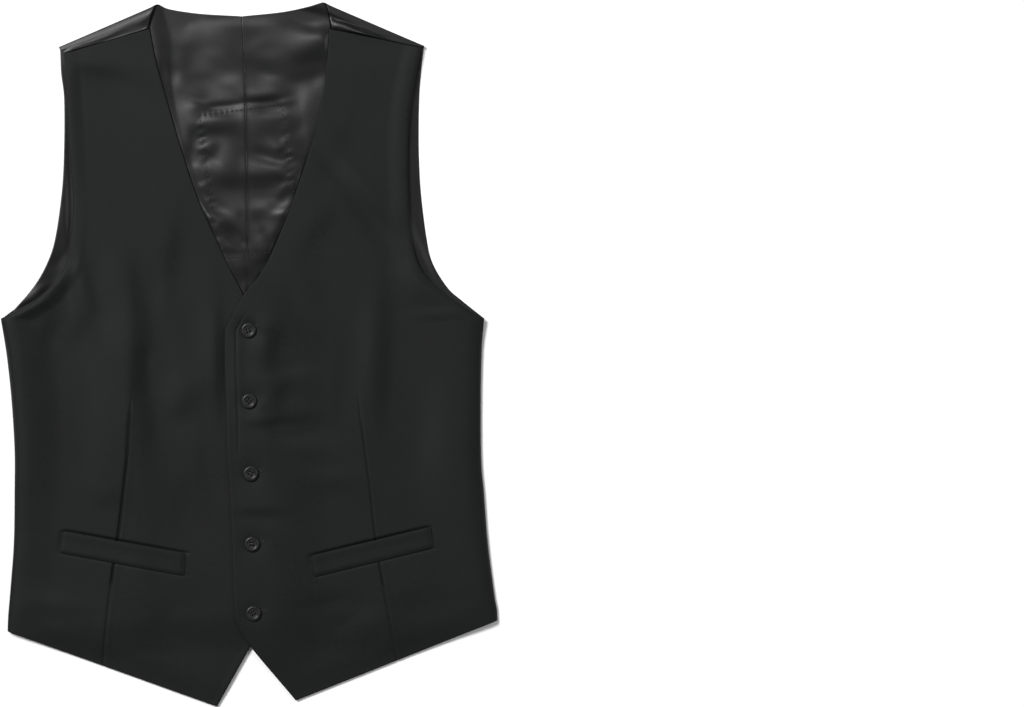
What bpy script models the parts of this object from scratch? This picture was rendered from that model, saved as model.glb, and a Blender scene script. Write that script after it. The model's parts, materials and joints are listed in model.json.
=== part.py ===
"""A man's dress waistcoat with a heating pad in its back, laid flat with its front up.

X runs to the garment's left side (right and left are the wearer's), Y towards the neck and Z up
from the floor. The origin is the middle of the garment's box, on the floor. The sizes and tables
below are in millimetres; the meshes are made in metres.

Each cloth panel is a grid: a row joins a point of its inner edge to a point of its outer edge, and
smooth curves through a table's rows give both edges. The grid is the cloth's outer face, and
Solidify gives it its wall on the inner side.
"""

from collections import namedtuple
from math import atan2, cos, hypot, radians, sin

import bmesh
import bpy
import numpy as np
from mathutils import Matrix, Vector

MM = 0.001
SAME_POINT = 1e-6
SHARP_EDGE = radians(35)

# Walls and the clearance between pieces
SATIN_WALL = 1.0
WOOL_WALL = 1.6
GAP = 0.3
EASE = 0.5

# Levels above the floor, from the back's outer face up to the left front's
PAD_LEVEL = SATIN_WALL + GAP
PAD_WALL = 1.0
LINING_TOP = SATIN_WALL + GAP + SATIN_WALL
PAD_RISE = PAD_WALL + GAP
FACING_TOP = LINING_TOP + GAP + SATIN_WALL
FRONT_TOP = FACING_TOP + EASE + WOOL_WALL
LAP_RISE = FRONT_TOP + GAP + SATIN_WALL - FACING_TOP
LEFT_TOP = FRONT_TOP + LAP_RISE

# The rounded side of the fronts, and the right front's strip that turns under to the side seam
SIDE_ROUND = 6.0
SIDE_SEAM_LEVEL = 1.5
UNDER_ROUND = 3.0
UNDER_STRIP = 12.0
UNDER_SHARES = (0.6, 1.0)
UNDER_STRIP_TILT = 0.78
SIDE_ANGLES = (0, 20, 45, 70, 90)
UNDER_ANGLES = (-30, -60, -90)

# The backs turn over the shoulders: radius in plan of the turn, and its steps
SHOULDER_ROUND = 2.6
SHOULDER_ANGLES = (-60, -30, 0, 30, 60, 90)
LINING_SHORT_OF_SHOULDER = 4.5

# Where the fronts pass the back hem they come down to the floor
DROP = LINING_TOP + GAP
DROP_START = 2.0
DROP_LENGTH = 40.0

# The left front rises over the right one inside these limits, and comes down over the ramps
LAP_EDGE_X = 18.0
LAP_RAMP = 22.0
LAP_NECK_Y = 130.0
LAP_NECK_RAMP = 70.0
LAP_HEM_Y = -318.0
LAP_HEM_RAMP = 44.0
LAP_COLUMNS = (0, 12, 24, 33, 42, 56)

# Heating pad: its top left corner seen from the front, its size and its tilt
PAD_CORNER = (-49.8, 229.9)
PAD_WIDTH = 82.5
PAD_LENGTH = 142.0
PAD_TILT = radians(7.7)
PAD_FLAT_MARGIN = 14.0
PAD_RAMP = 18.0

# Buttons and buttonholes; each button is turned a little further than the one above
BUTTON_DIAMETER = 15.2
BUTTON_THICK = 2.8
BUTTON_DISH = 0.8
BUTTON_DISH_RADIUS = 4.3
BUTTON_RIM_RADIUS = 5.1
BUTTON_EDGE_ROUND = 0.7
BUTTON_STEPS = 24
HOLE_STEPS = 8
HOLE_RADIUS = 0.85
HOLE_OFFSET = 1.35
SHANK_RADIUS = 0.6
SLOT_WIDTH = 2.0
SLOT_BEHIND = 1.6
BUTTON_TURN = 23.0

WELT_WALL = 1.0
WELT_STRIPS = 4

FrontRow = namedtuple("FrontRow", "in_x in_y out_x out_y kink turned strips")
BackRow = namedtuple("BackRow", "centre_y out_x out_y kink lining_inset strips lining_strips")
Facing = namedtuple("Facing", "in_x in_y out_x out_y strips")
Button = namedtuple("Button", "x y slot_end_x slot_end_y")

# Inner edge: neck, front edge and the slope to the hem point. Outer edge: armhole and side.
# kink names the edges that have a corner at the row, turned is how far the outer edge has come
# down at the side, and strips is the number of strips to the next row.
RIGHT_FRONT = (
    FrontRow(-95.4, 311.7, -177.5, 287.9, "", 0.0, 1),
    FrontRow(-88.7, 277.9, -175.8, 254.0, "", 0.0, 1),
    FrontRow(-76.2, 236.6, -174.0, 220.0, "", 0.0, 1),
    FrontRow(-63.7, 196.3, -171.5, 182.0, "", 0.0, 1),
    FrontRow(-48.3, 152.2, -169.0, 144.5, "", 0.0, 2),
    FrontRow(-32.5, 114.7, -171.4, 110.0, "", 0.0, 2),
    FrontRow(-19.9, 86.4, -178.1, 80.6, "", 0.0, 2),
    FrontRow(-6.1, 58.1, -201.2, 55.2, "", 0.0, 3),
    FrontRow(12.1, 23.5, -237.7, 34.1, "in out", 0.3, 3),
    FrontRow(14.5, 0.0, -232.6, 0.0, "", 1.0, 1),
    FrontRow(15.5, -49.4, -227.9, -43.7, "", 1.0, 1),
    FrontRow(15.5, -101.3, -225.0, -91.7, "", 1.0, 1),
    FrontRow(15.5, -131.0, -225.0, -131.0, "", 1.0, 1),
    FrontRow(15.5, -180.0, -225.7, -180.0, "", 1.0, 1),
    FrontRow(15.5, -225.0, -229.0, -225.0, "", 1.0, 3),
    FrontRow(15.5, -253.9, -230.9, -247.2, "in", 1.0, 3),
    FrontRow(1.2, -279.8, -231.4, -256.5, "", 1.0, 5),
    FrontRow(-31.1, -337.4, -231.7, -265.4, "", 1.0, 0),
)
LEFT_FRONT = (
    FrontRow(76.5, 311.7, 165.0, 293.5, "", 0.0, 1),
    FrontRow(74.1, 277.9, 159.0, 263.5, "", 0.0, 1),
    FrontRow(69.4, 243.4, 154.2, 232.8, "", 0.0, 2),
    FrontRow(60.0, 202.1, 152.0, 199.2, "", 0.0, 1),
    FrontRow(48.6, 167.5, 152.3, 160.0, "", 0.0, 1),
    FrontRow(38.1, 136.8, 154.4, 125.0, "", 0.0, 1),
    FrontRow(23.7, 102.2, 159.4, 94.0, "", 0.0, 2),
    FrontRow(11.2, 77.3, 170.0, 74.5, "", 0.0, 1),
    FrontRow(-6.1, 55.2, 193.0, 54.9, "", 0.0, 3),
    FrontRow(-23.4, 22.6, 224.8, 34.4, "in out", 0.0, 3),
    FrontRow(-23.4, -10.0, 222.4, 4.3, "", 1.0, 1),
    FrontRow(-22.0, -49.4, 221.4, -50.0, "", 1.0, 1),
    FrontRow(-21.0, -101.3, 221.9, -101.3, "", 1.0, 1),
    FrontRow(-18.6, -131.0, 224.3, -131.0, "", 1.0, 1),
    FrontRow(-16.3, -180.0, 228.1, -180.0, "", 1.0, 1),
    FrontRow(-14.9, -225.0, 233.6, -225.0, "", 1.0, 3),
    FrontRow(-13.0, -255.4, 236.8, -243.0, "in", 1.0, 4),
    FrontRow(1.2, -279.8, 237.3, -249.5, "", 1.0, 7),
    FrontRow(44.3, -331.7, 237.7, -254.9, "", 1.0, 0),
)

# Backs: height on the centre seam, armhole and side edge, and how far in the lining ends
RIGHT_BACK = (
    BackRow(324.0, -182.7, 294.2, "", 1.0, 1, 2),
    BackRow(285.0, -181.3, 271.2, "", 1.0, 1, 2),
    BackRow(250.0, -177.9, 244.3, "", 1.0, 1, 4),
    BackRow(200.0, -177.9, 196.3, "", 1.0, 1, 3),
    BackRow(157.0, -180.0, 156.0, "", 1.0, 2, 3),
    BackRow(112.0, -186.4, 111.0, "", 1.0, 2, 2),
    BackRow(86.0, -194.5, 86.5, "", 1.0, 1, 2),
    BackRow(64.0, -207.7, 63.8, "", 1.0, 2, 2),
    BackRow(44.0, -225.2, 43.8, "out", 1.0, 1, 1),
    BackRow(4.0, -220.8, 4.3, "", 1.5, 1, 1),
    BackRow(-43.7, -215.3, -43.7, "", 1.5, 1, 1),
    BackRow(-91.7, -212.4, -91.7, "", 1.5, 1, 1),
    BackRow(-131.0, -212.4, -131.0, "", 1.5, 1, 1),
    BackRow(-180.0, -213.1, -180.0, "", 1.5, 1, 1),
    BackRow(-222.0, -216.8, -228.0, "", 1.5, 1, 1),
    BackRow(-244.3, -219.4, -263.2, "", 1.5, 0, 0),
)
LEFT_BACK = (
    BackRow(324.0, 167.7, 295.2, "", 1.0, 1, 2),
    BackRow(285.0, 164.8, 271.2, "", 1.0, 1, 2),
    BackRow(250.0, 162.4, 244.3, "", 1.0, 1, 4),
    BackRow(200.0, 161.9, 200.0, "", 1.0, 1, 3),
    BackRow(157.0, 163.8, 157.0, "", 1.0, 2, 3),
    BackRow(112.0, 169.6, 110.0, "", 1.0, 1, 2),
    BackRow(86.0, 175.6, 86.5, "", 1.0, 1, 2),
    BackRow(64.0, 189.7, 63.8, "", 1.0, 1, 1),
    BackRow(50.0, 203.0, 51.8, "", 1.0, 2, 1),
    BackRow(34.0, 224.8, 34.4, "out", 2.5, 1, 1),
    BackRow(4.0, 222.4, 4.3, "", 3.5, 1, 1),
    BackRow(-46.0, 221.4, -46.0, "", 3.5, 1, 1),
    BackRow(-101.0, 221.9, -101.0, "", 3.5, 1, 1),
    BackRow(-131.0, 224.3, -131.0, "", 3.5, 1, 1),
    BackRow(-180.0, 228.1, -180.0, "", 3.5, 1, 1),
    BackRow(-218.0, 233.4, -222.0, "", 3.5, 1, 1),
    BackRow(-244.3, 237.7, -254.9, "", 3.5, 0, 0),
)
BACK_COLUMNS = (0.0, 0.15, 0.3, 0.455, 0.64, 0.82, 0.93, 1.0)
LINING_COLUMNS = (0.0, 0.06, 0.12, 0.18, 0.24, 0.3, 0.36, 0.455, 0.68, 0.9, 1.0)
NECK_PEAK = 0.455
NECK_STRIPS = 4
TOP_FADE = 90.0
HEM_FADE = 60.0
HEM_BOW = 4.5
LINING_SHORT_OF_HEM = 3.0
LINING_SHORT_OF_NECK = 0.6

CENTRE_SEAM_Y = (-244.3, 101.0, 175.0, 237.6, 267.0, 324.0)
CENTRE_SEAM_X = (-4.2, -2.1, -2.9, -3.9, -4.8, -7.5)
RIGHT_NECK = ((-7.5, 324.0), (-47.4, 326.4), (-76.2, 330.7), (-87.2, 335.5))
LEFT_NECK = ((-7.5, 324.0), (29.4, 327.8), (53.4, 332.6), (69.7, 337.4))
RIGHT_SHOULDER_SEAM = ((-95.4, 312.0), (-177.5, 288.2))
LEFT_SHOULDER_SEAM = ((76.5, 312.0), (165.0, 293.8))

FACING_CELL = 10.0

# Pieces inside the fronts, from just above the back hem to just short of the front hem
RIGHT_FACING = (
    Facing(-73.0, -226.0, 14.0, -224.0, 2),
    Facing(-75.6, -256.0, 14.0, -252.0, 3),
    Facing(-78.0, -283.0, -2.0, -281.0, 4),
    Facing(-81.0, -313.0, -33.0, -329.5, 0),
)
RIGHT_FRONT_LINING = (
    Facing(-224.0, -243.0, -73.5, -226.0, 3),
    Facing(-223.0, -253.0, -78.0, -277.0, 4),
    Facing(-222.0, -261.5, -81.6, -312.5, 0),
)
LEFT_FACING = (
    Facing(-12.0, -224.0, 55.0, -226.0, 2),
    Facing(-11.0, -254.0, 57.5, -258.0, 3),
    Facing(5.0, -282.0, 61.0, -286.0, 4),
    Facing(46.0, -323.5, 66.0, -316.5, 0),
)
LEFT_FRONT_LINING = (
    Facing(55.5, -226.0, 227.0, -237.0, 3),
    Facing(60.5, -280.0, 228.0, -244.0, 4),
    Facing(66.6, -316.0, 229.0, -250.5, 0),
)

# Welts: upper edge from the outer to the inner end, then the lower edge
RIGHT_WELT = ((-177.6, -169.5), (-61.0, -190.7), (-180.8, -190.2), (-61.9, -212.3))
LEFT_WELT = ((174.0, -165.4), (60.5, -192.5), (176.8, -185.2), (62.8, -213.1))

BUTTONS = (
    Button(-0.5, 23.0, 8.0, 27.4),
    Button(0.0, -44.7, 9.9, -41.8),
    Button(1.6, -114.0, 12.1, -110.9),
    Button(2.9, -181.3, 14.1, -178.6),
    Button(4.1, -247.5, 16.6, -245.3),
)

# Colour, roughness and metallic value of each finish
FINISHES = {
    "wool": ((0.020, 0.021, 0.021), 0.85, 0.0),
    "satin": ((0.014, 0.015, 0.015), 0.35, 0.0),
    "pad": ((0.05, 0.05, 0.05), 0.9, 0.0),
    "button": ((0.02, 0.02, 0.02), 0.3, 0.0),
    "thread": ((0.015, 0.015, 0.015), 0.7, 0.0),
}


def clear_scene():
    """Removes everything that the scene holds."""
    for thing in list(bpy.data.objects):
        bpy.data.objects.remove(thing, do_unlink=True)


def finish(name):
    """The named material, made the first time it is asked for."""
    found = bpy.data.materials.get(name)
    if found:
        return found
    colour, roughness, metallic = FINISHES[name]
    material = bpy.data.materials.new(name)
    material.use_nodes = True
    shader = material.node_tree.nodes["Principled BSDF"]
    shader.inputs["Base Color"].default_value = (*colour, 1)
    shader.inputs["Roughness"].default_value = roughness
    shader.inputs["Metallic"].default_value = metallic
    return material


def ease(t):
    """0 below 0, 1 above 1, and a smooth step between."""
    t = np.clip(t, 0, 1)
    return t * t * (3 - 2 * t)


def smooth_run(points, strips):
    """Points of a Catmull-Rom curve through the given ones, strips[i] to a span."""
    points = np.array(points, float)
    before = 2 * points[0] - points[1]
    after = 2 * points[-1] - points[-2]
    padded = np.vstack([before, points, after])
    run = [points[:1]]
    for i, count in enumerate(strips):
        a, b, c, d = padded[i : i + 4]
        t = (np.arange(1, count + 1) / count)[:, None]
        run.append(
            0.5 * (2 * b + (c - a) * t + (2 * a - 5 * b + 4 * c - d) * t**2)
            + 0.5 * (3 * b - a - 3 * c + d) * t**3
        )
    return np.vstack(run)


def edge_curve(points, strips, kinks):
    """smooth_run broken at the points whose number is in kinks, as one array."""
    stops = [0, *kinks, len(points) - 1]
    runs = []
    for start, end in zip(stops, stops[1:]):
        run = smooth_run(points[start : end + 1], strips[start:end])
        runs.append(run if start == 0 else run[1:])
    return np.vstack(runs)


def table_curves(rows, inner, outer, strips):
    """The inner and outer edge curves of a table with a kink column."""
    in_kinks = [i for i, row in enumerate(rows) if "in" in row.kink.split()]
    out_kinks = [i for i, row in enumerate(rows) if "out" in row.kink.split()]
    return edge_curve(inner, strips, in_kinks), edge_curve(outer, strips, out_kinks)


def spread_column(values, strips):
    """A table's column spread evenly over the strips between its rows."""
    marks = np.cumsum([0, *strips])
    return np.interp(np.arange(marks[-1] + 1), marks, values)


def back_hem(x):
    """Height of the back hem at x: two bowed lines from the centre seam to the sides."""
    right = rows_end(RIGHT_BACK)
    left = rows_end(LEFT_BACK)
    centre = (CENTRE_SEAM_X[0], RIGHT_BACK[-1].centre_y)
    line = np.interp(x, (right[0], centre[0], left[0]), (right[1], centre[1], left[1]))
    half = np.where(x < centre[0], centre[0] - right[0], left[0] - centre[0])
    across = np.clip(np.abs(x - centre[0]) / half, 0, 1)
    return line + HEM_BOW * np.sin(np.pi * across)


def rows_end(rows):
    """The outer point of a back table's last row."""
    return rows[-1].out_x, rows[-1].out_y


def drop(x, y):
    """How far the front layers have come down at a point past the back hem."""
    return DROP * ease((back_hem(x) - DROP_START - y) / DROP_LENGTH)


def lap_rise(x, y):
    """How far the left front's layers stand up over the right front."""
    across = 1 - ease((x - LAP_EDGE_X) / LAP_RAMP)
    below_neck = ease((LAP_NECK_Y - y) / LAP_NECK_RAMP)
    above_hem = ease((y - LAP_HEM_Y) / LAP_HEM_RAMP)
    return LAP_RISE * across * below_neck * above_hem


def front_level(x, y, top, lapped):
    """Level of a front layer's upper face, whose level on the flat part is top."""
    level = top - drop(x, y)
    return level + lap_rise(x, y) if lapped else level


def pad_lift(x, y):
    """How far the back lining stands up over the heating pad, 1 on the pad and 0 away from it."""
    along, down = pad_axes()
    middle = pad_middle()
    a = np.abs((x - middle[0]) * along[0] + (y - middle[1]) * along[1])
    b = np.abs((x - middle[0]) * down[0] + (y - middle[1]) * down[1])
    outside = np.hypot(np.maximum(a - PAD_WIDTH / 2, 0), np.maximum(b - PAD_LENGTH / 2, 0))
    return 1 - ease((outside - PAD_FLAT_MARGIN) / PAD_RAMP)


def pad_axes():
    """Unit vectors along the pad's width and down its length."""
    return (cos(PAD_TILT), sin(PAD_TILT)), (sin(PAD_TILT), -cos(PAD_TILT))


def pad_middle():
    """The middle of the heating pad."""
    along, down = pad_axes()
    x = PAD_CORNER[0] + along[0] * PAD_WIDTH / 2 + down[0] * PAD_LENGTH / 2
    y = PAD_CORNER[1] + along[1] * PAD_WIDTH / 2 + down[1] * PAD_LENGTH / 2
    return x, y


def ruled(inner, outer, share):
    """Plan points of a grid: row i runs from inner[i] to outer[i], share[i] of the way."""
    share = np.broadcast_to(share, (len(inner), np.shape(share)[-1]))
    return inner[:, None] + share[..., None] * (outer - inner)[:, None]


def lifted(plan, level):
    """A grid of plan points with their levels, as points in space."""
    return np.concatenate([plan, np.broadcast_to(level, plan.shape[:2])[..., None]], axis=2)


def mesh_of(name, patches, up):
    """A mesh of grids that meet along shared points. up says which way the first one faces."""
    body = bmesh.new()
    for patch in patches:
        made = [[body.verts.new(point) for point in row] for row in patch * MM]
        for row, below in zip(made, made[1:]):
            for i in range(len(row) - 1):
                body.faces.new((row[i], row[i + 1], below[i + 1], below[i]))
    bmesh.ops.remove_doubles(body, verts=body.verts, dist=SAME_POINT)
    bmesh.ops.recalc_face_normals(body, faces=body.faces)
    body.normal_update()
    body.faces.ensure_lookup_table()
    first = body.faces[: (len(patches[0]) - 1) * (len(patches[0][0]) - 1)]
    if (sum(face.normal.z * face.calc_area() for face in first) > 0) != up:
        bmesh.ops.reverse_faces(body, faces=body.faces)
    mesh = bpy.data.meshes.new(name)
    body.to_mesh(mesh)
    body.free()
    return mesh


def place(name, mesh, finish_name, parent):
    """A new object of the mesh, with its finish, under the garment's empty."""
    made = bpy.data.objects.new(name, mesh)
    if not mesh.materials:
        mesh.materials.append(finish(finish_name))
    bpy.context.collection.objects.link(made)
    made.parent = parent
    return made


def cloth(name, patches, wall, finish_name, parent, up=True):
    """A cloth piece: its outer face from the grids, and its wall by Solidify."""
    mesh = mesh_of(name, patches, up)
    mesh.shade_smooth()
    made = place(name, mesh, finish_name, parent)
    solidify = made.modifiers.new("wall", "SOLIDIFY")
    solidify.thickness = wall * MM
    solidify.offset = -1
    solidify.use_even_offset = True
    return made


def side_columns(inner, outer, from_inner, middle):
    """Shares of the way across for a front: close at the rounded side, open in the middle."""
    width = np.linalg.norm(outer - inner, axis=1)[:, None]
    angles = np.radians(SIDE_ANGLES)
    from_outer = 1 - SIDE_ROUND * (1 - np.cos(angles))[None] / width
    near = np.array(from_inner)[None] / width
    steps = np.linspace(0, 1, middle + 2)[None, 1:-1]
    between = near[:, -1:] + steps * (from_outer[:, -1:] - near[:, -1:])
    return np.hstack([near, between, from_outer[:, ::-1]])


def front(name, rows, from_inner, middle, lapped, edge_level, parent):
    """A front: flat over its layers, rounded down to edge_level at the side."""
    strips = [row.strips for row in rows[:-1]]
    inner, outer = table_curves(
        rows,
        [(row.in_x, row.in_y) for row in rows],
        [(row.out_x, row.out_y) for row in rows],
        strips,
    )
    turned = spread_column([row.turned for row in rows], strips)[:, None]
    plan = ruled(inner, outer, side_columns(inner, outer, from_inner, middle))
    level = front_level(plan[..., 0], plan[..., 1], FRONT_TOP, lapped)
    fall = 1 - np.sin(np.radians(SIDE_ANGLES))[::-1][None]
    count = len(SIDE_ANGLES)
    level[:, -count:] -= turned * fall * (level[:, -count:] - edge_level)
    patches = [lifted(plan, level)]
    if name == "front_right":
        patches.append(under_strip(rows, inner, outer, level[:, -1]))
    return cloth(name, patches, WOOL_WALL, "wool", parent)


def under_strip(rows, inner, outer, edge_level):
    """The right front's strip: it turns under at the side and lies on the floor to the seam."""
    start = sum(row.strips for row in rows[: rows.index(armpit_row(rows))])
    inward = (inner - outer) / np.linalg.norm(inner - outer, axis=1)[:, None]
    angles = np.radians((0, *UNDER_ANGLES))
    width = np.append(UNDER_ROUND * (1 - np.cos(angles)), UNDER_STRIP * np.array(UNDER_SHARES))
    height = np.append(1 + np.sin(angles), [0] * len(UNDER_SHARES))
    plan = outer[:, None] + width[None, :, None] * inward[:, None]
    plan[start, :, 1] += UNDER_STRIP_TILT * width
    return lifted(plan, edge_level[:, None] * height[None])[start:]


def armpit_row(rows):
    """The row of a front table at the armpit, where the armhole meets the side."""
    return next(row for row in rows if "out" in row.kink.split())


def back_plan(rows, strips, neck, columns, side, inset=0.0, short=(0.0, 0.0), fold=0.0):
    """Plan of a back or a back lining. side is -1 for the right half and 1 for the left.

    The straight rows are bent to the neck line and the shoulder at the top and to the bowed hem,
    and the bend fades away from them. short is how far the plan stops from the neck and the hem.
    """
    heights = [row.centre_y for row in rows]
    centre = [(np.interp(y, CENTRE_SEAM_Y, CENTRE_SEAM_X), y) for y in heights]
    edge = [(row.out_x, row.out_y) for row in rows]
    inner, outer = table_curves(rows, centre, edge, strips)
    inner[:, 0] += side * GAP / 2
    outer[:, 0] -= side * inset
    plan = ruled(inner, outer, np.array(columns)[None])
    top = top_line(neck, inner[0], outer[0], columns, short[0], fold)
    far_down = (plan[0, 0, 1] - plan[:, 0, 1])[:, None, None]
    plan = plan + (1 - ease(far_down / TOP_FADE)) * (top - plan[0])[None]
    far_up = (plan[:, 0, 1] - plan[-1, 0, 1])[:, None]
    hem = back_hem(plan[-1, :, 0]) + short[1] - plan[-1, :, 1]
    plan[..., 1] += (1 - ease(far_up / HEM_FADE)) * hem[None]
    return plan


def top_line(neck, start, end, columns, short_neck, fold):
    """The back's upper edge: the neck line to its peak, then the shoulder fold, fold short of it."""
    neck = smooth_run(neck, [NECK_STRIPS] * (len(neck) - 1)) - (0, short_neck)
    neck[0] = start - (0, short_neck)
    peak = neck[-1]
    along = end - peak
    along = along / np.linalg.norm(along)
    down = np.array((along[1], -along[0])) * np.sign(along[0])
    marks = np.linspace(0, NECK_PEAK, len(neck))
    columns = np.array(columns)
    on_neck = np.stack([np.interp(columns, marks, neck[:, i]) for i in (0, 1)], axis=1)
    share = np.clip((columns - NECK_PEAK) / (1 - NECK_PEAK), 0, 1)[:, None]
    on_fold = peak + share * (end - peak) + fold * down
    return np.where((columns < NECK_PEAK)[:, None], on_neck, on_fold)


def shoulder(plan, neck, end, seam, columns):
    """The back's turn over the shoulder, from its upper edge to the shoulder seam."""
    first = columns.index(NECK_PEAK)
    share = (np.array(columns[first:]) - NECK_PEAK)[:, None] / (1 - NECK_PEAK)
    peak = np.array(neck[-1])
    fold = peak + share * (np.array(end) - peak)
    sewn = np.array(seam[0]) + share * (np.array(seam[1]) - np.array(seam[0]))
    below = unit(plan[0, first:] - fold)
    above = unit(sewn - fold)
    middle = FRONT_TOP / 2
    rows = [lifted(plan[:1, first:], 0)[0]]
    for angle in np.radians(SHOULDER_ANGLES):
        way = below if angle < 0 else above
        spot = fold + SHOULDER_ROUND * (1 - cos(angle)) * way
        rows.append(lifted(spot[None], middle * (1 + sin(angle)))[0])
    rows.append(lifted(sewn[None], FRONT_TOP)[0])
    return np.array(rows)


def unit(vectors):
    """Each vector at length 1."""
    return vectors / np.linalg.norm(vectors, axis=-1, keepdims=True)


def back(name, rows, neck, seam, side, parent):
    """A back: flat on the floor, turned over the shoulder to the shoulder seam."""
    strips = [row.strips for row in rows[:-1]]
    plan = back_plan(rows, strips, neck, BACK_COLUMNS, side, fold=SHOULDER_ROUND)
    end = (rows[0].out_x, rows[0].out_y)
    turn = shoulder(plan, neck, end, seam, BACK_COLUMNS)
    return cloth(name, [lifted(plan, 0), turn], SATIN_WALL, "satin", parent, up=False)


def back_lining(name, rows, neck, side, parent):
    """A back lining: flat above the back, and raised over the heating pad."""
    strips = [row.lining_strips for row in rows[:-1]]
    plan = back_plan(
        rows,
        strips,
        neck,
        LINING_COLUMNS,
        side,
        inset=spread_column([row.lining_inset for row in rows], strips),
        short=(LINING_SHORT_OF_NECK, LINING_SHORT_OF_HEM),
        fold=LINING_SHORT_OF_SHOULDER,
    )
    level = LINING_TOP + PAD_RISE * pad_lift(plan[..., 0], plan[..., 1])
    return cloth(name, [lifted(plan, level)], SATIN_WALL, "satin", parent)


def heat_pad(parent):
    """The heating pad: a tilted flat sheet between the back and its lining."""
    along, down = pad_axes()
    a = np.array((0, PAD_WIDTH))[None, :, None] * np.array(along)
    b = np.array((0, PAD_LENGTH))[:, None, None] * np.array(down)
    grid = lifted(np.array(PAD_CORNER) + a + b, PAD_LEVEL + PAD_WALL)
    return cloth("heat_pad", [grid], PAD_WALL, "pad", parent)


def facing(name, rows, finish_name, lapped, parent):
    """A facing or front lining: it lies on its front's inner side and comes down with it."""
    strips = [row.strips for row in rows[:-1]]
    columns = [spread_column([row[i] for row in rows], strips) for i in range(4)]
    inner, outer = np.stack(columns[:2], axis=1), np.stack(columns[2:], axis=1)
    count = int(np.ceil(np.abs(outer - inner).max() / FACING_CELL)) + 1
    plan = ruled(inner, outer, np.linspace(0, 1, count)[None])
    level = front_level(plan[..., 0], plan[..., 1], FACING_TOP, lapped)
    return cloth(name, [lifted(plan, level)], SATIN_WALL, finish_name, parent)


def welt(name, corners, lapped, parent):
    """A pocket welt: a flat strip of the front's cloth, laid on its front."""
    upper, lower = np.array(corners[:2]), np.array(corners[2:])
    outer = np.stack([upper[0], lower[0]])
    inner = np.stack([upper[1], lower[1]])
    plan = ruled(outer, inner, np.linspace(0, 1, WELT_STRIPS + 1)[None])
    level = front_level(plan[..., 0], plan[..., 1], FRONT_TOP, lapped) + GAP + WELT_WALL
    return cloth(name, [lifted(plan, level)], WELT_WALL, "wool", parent)


def slot_cutter(parent):
    """The five buttonholes as one cutter: a thin box from behind each shank to its end."""
    body = bmesh.new()
    for button in BUTTONS:
        dx, dy = button.slot_end_x - button.x, button.slot_end_y - button.y
        turn = atan2(dy, dx)
        length = hypot(dx, dy) + SLOT_BEHIND
        reach = length / 2 - SLOT_BEHIND
        spot = Vector((button.x + reach * cos(turn), button.y + reach * sin(turn), LEFT_TOP))
        size = Vector((length, SLOT_WIDTH, 4 * WOOL_WALL))
        made = bmesh.ops.create_cube(body, size=1.0)["verts"]
        bmesh.ops.scale(body, vec=size * MM, verts=made)
        bmesh.ops.rotate(body, matrix=Matrix.Rotation(turn, 3, "Z"), verts=made)
        bmesh.ops.translate(body, vec=spot * MM, verts=made)
    mesh = bpy.data.meshes.new("buttonhole_cutter")
    body.to_mesh(mesh)
    body.free()
    return as_cutter(place("buttonhole_cutter", mesh, "thread", parent))


def as_cutter(thing):
    """Marks an object as one that only cuts another."""
    thing.hide_render = True
    thing.display_type = "WIRE"
    return thing


def cut(thing, cutter):
    """Takes the cutter's shape out of an object."""
    boolean = thing.modifiers.new("cut", "BOOLEAN")
    boolean.operation = "DIFFERENCE"
    boolean.solver = "EXACT"
    boolean.object = cutter


def button_mesh(parent):
    """A four-hole button with a dished middle, turned from its profile, standing on z = 0."""
    radius = BUTTON_DIAMETER / 2
    profile = (
        (0, BUTTON_THICK - BUTTON_DISH),
        (BUTTON_DISH_RADIUS, BUTTON_THICK - BUTTON_DISH),
        (BUTTON_RIM_RADIUS, BUTTON_THICK),
        (radius - BUTTON_EDGE_ROUND, BUTTON_THICK),
        (radius, BUTTON_THICK - BUTTON_EDGE_ROUND),
        (radius, BUTTON_EDGE_ROUND),
        (radius - 2 * BUTTON_EDGE_ROUND, 0),
        (0, 0),
    )
    mesh = bpy.data.meshes.new("button_profile")
    points = [(r * MM, 0, z * MM) for r, z in profile]
    mesh.from_pydata(points, [(i, i + 1) for i in range(len(points) - 1)], [])
    turned = place("button_profile", mesh, "button", parent)
    screw = turned.modifiers.new("turn", "SCREW")
    screw.steps = screw.render_steps = BUTTON_STEPS
    screw.use_merge_vertices = True
    screw.merge_threshold = SAME_POINT
    body = bmesh.new()
    for side_x, side_y in ((-1, -1), (-1, 1), (1, -1), (1, 1)):
        spot = Vector((side_x * HOLE_OFFSET, side_y * HOLE_OFFSET, BUTTON_THICK / 2)) * MM
        bmesh.ops.create_cone(
            body,
            cap_ends=True,
            segments=HOLE_STEPS,
            radius1=HOLE_RADIUS * MM,
            radius2=HOLE_RADIUS * MM,
            depth=2 * BUTTON_THICK * MM,
            matrix=Matrix.Translation(spot),
        )
    hole_mesh = bpy.data.meshes.new("button_holes")
    body.to_mesh(hole_mesh)
    body.free()
    holes = as_cutter(place("button_holes", hole_mesh, "button", parent))
    cut(turned, holes)
    bpy.context.view_layer.update()
    graph = bpy.context.evaluated_depsgraph_get()
    finished = bpy.data.meshes.new_from_object(turned.evaluated_get(graph))
    finished.name = "button"
    bpy.data.objects.remove(turned, do_unlink=True)
    bpy.data.objects.remove(holes, do_unlink=True)
    finished.set_sharp_from_angle(angle=SHARP_EDGE)
    return finished


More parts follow.
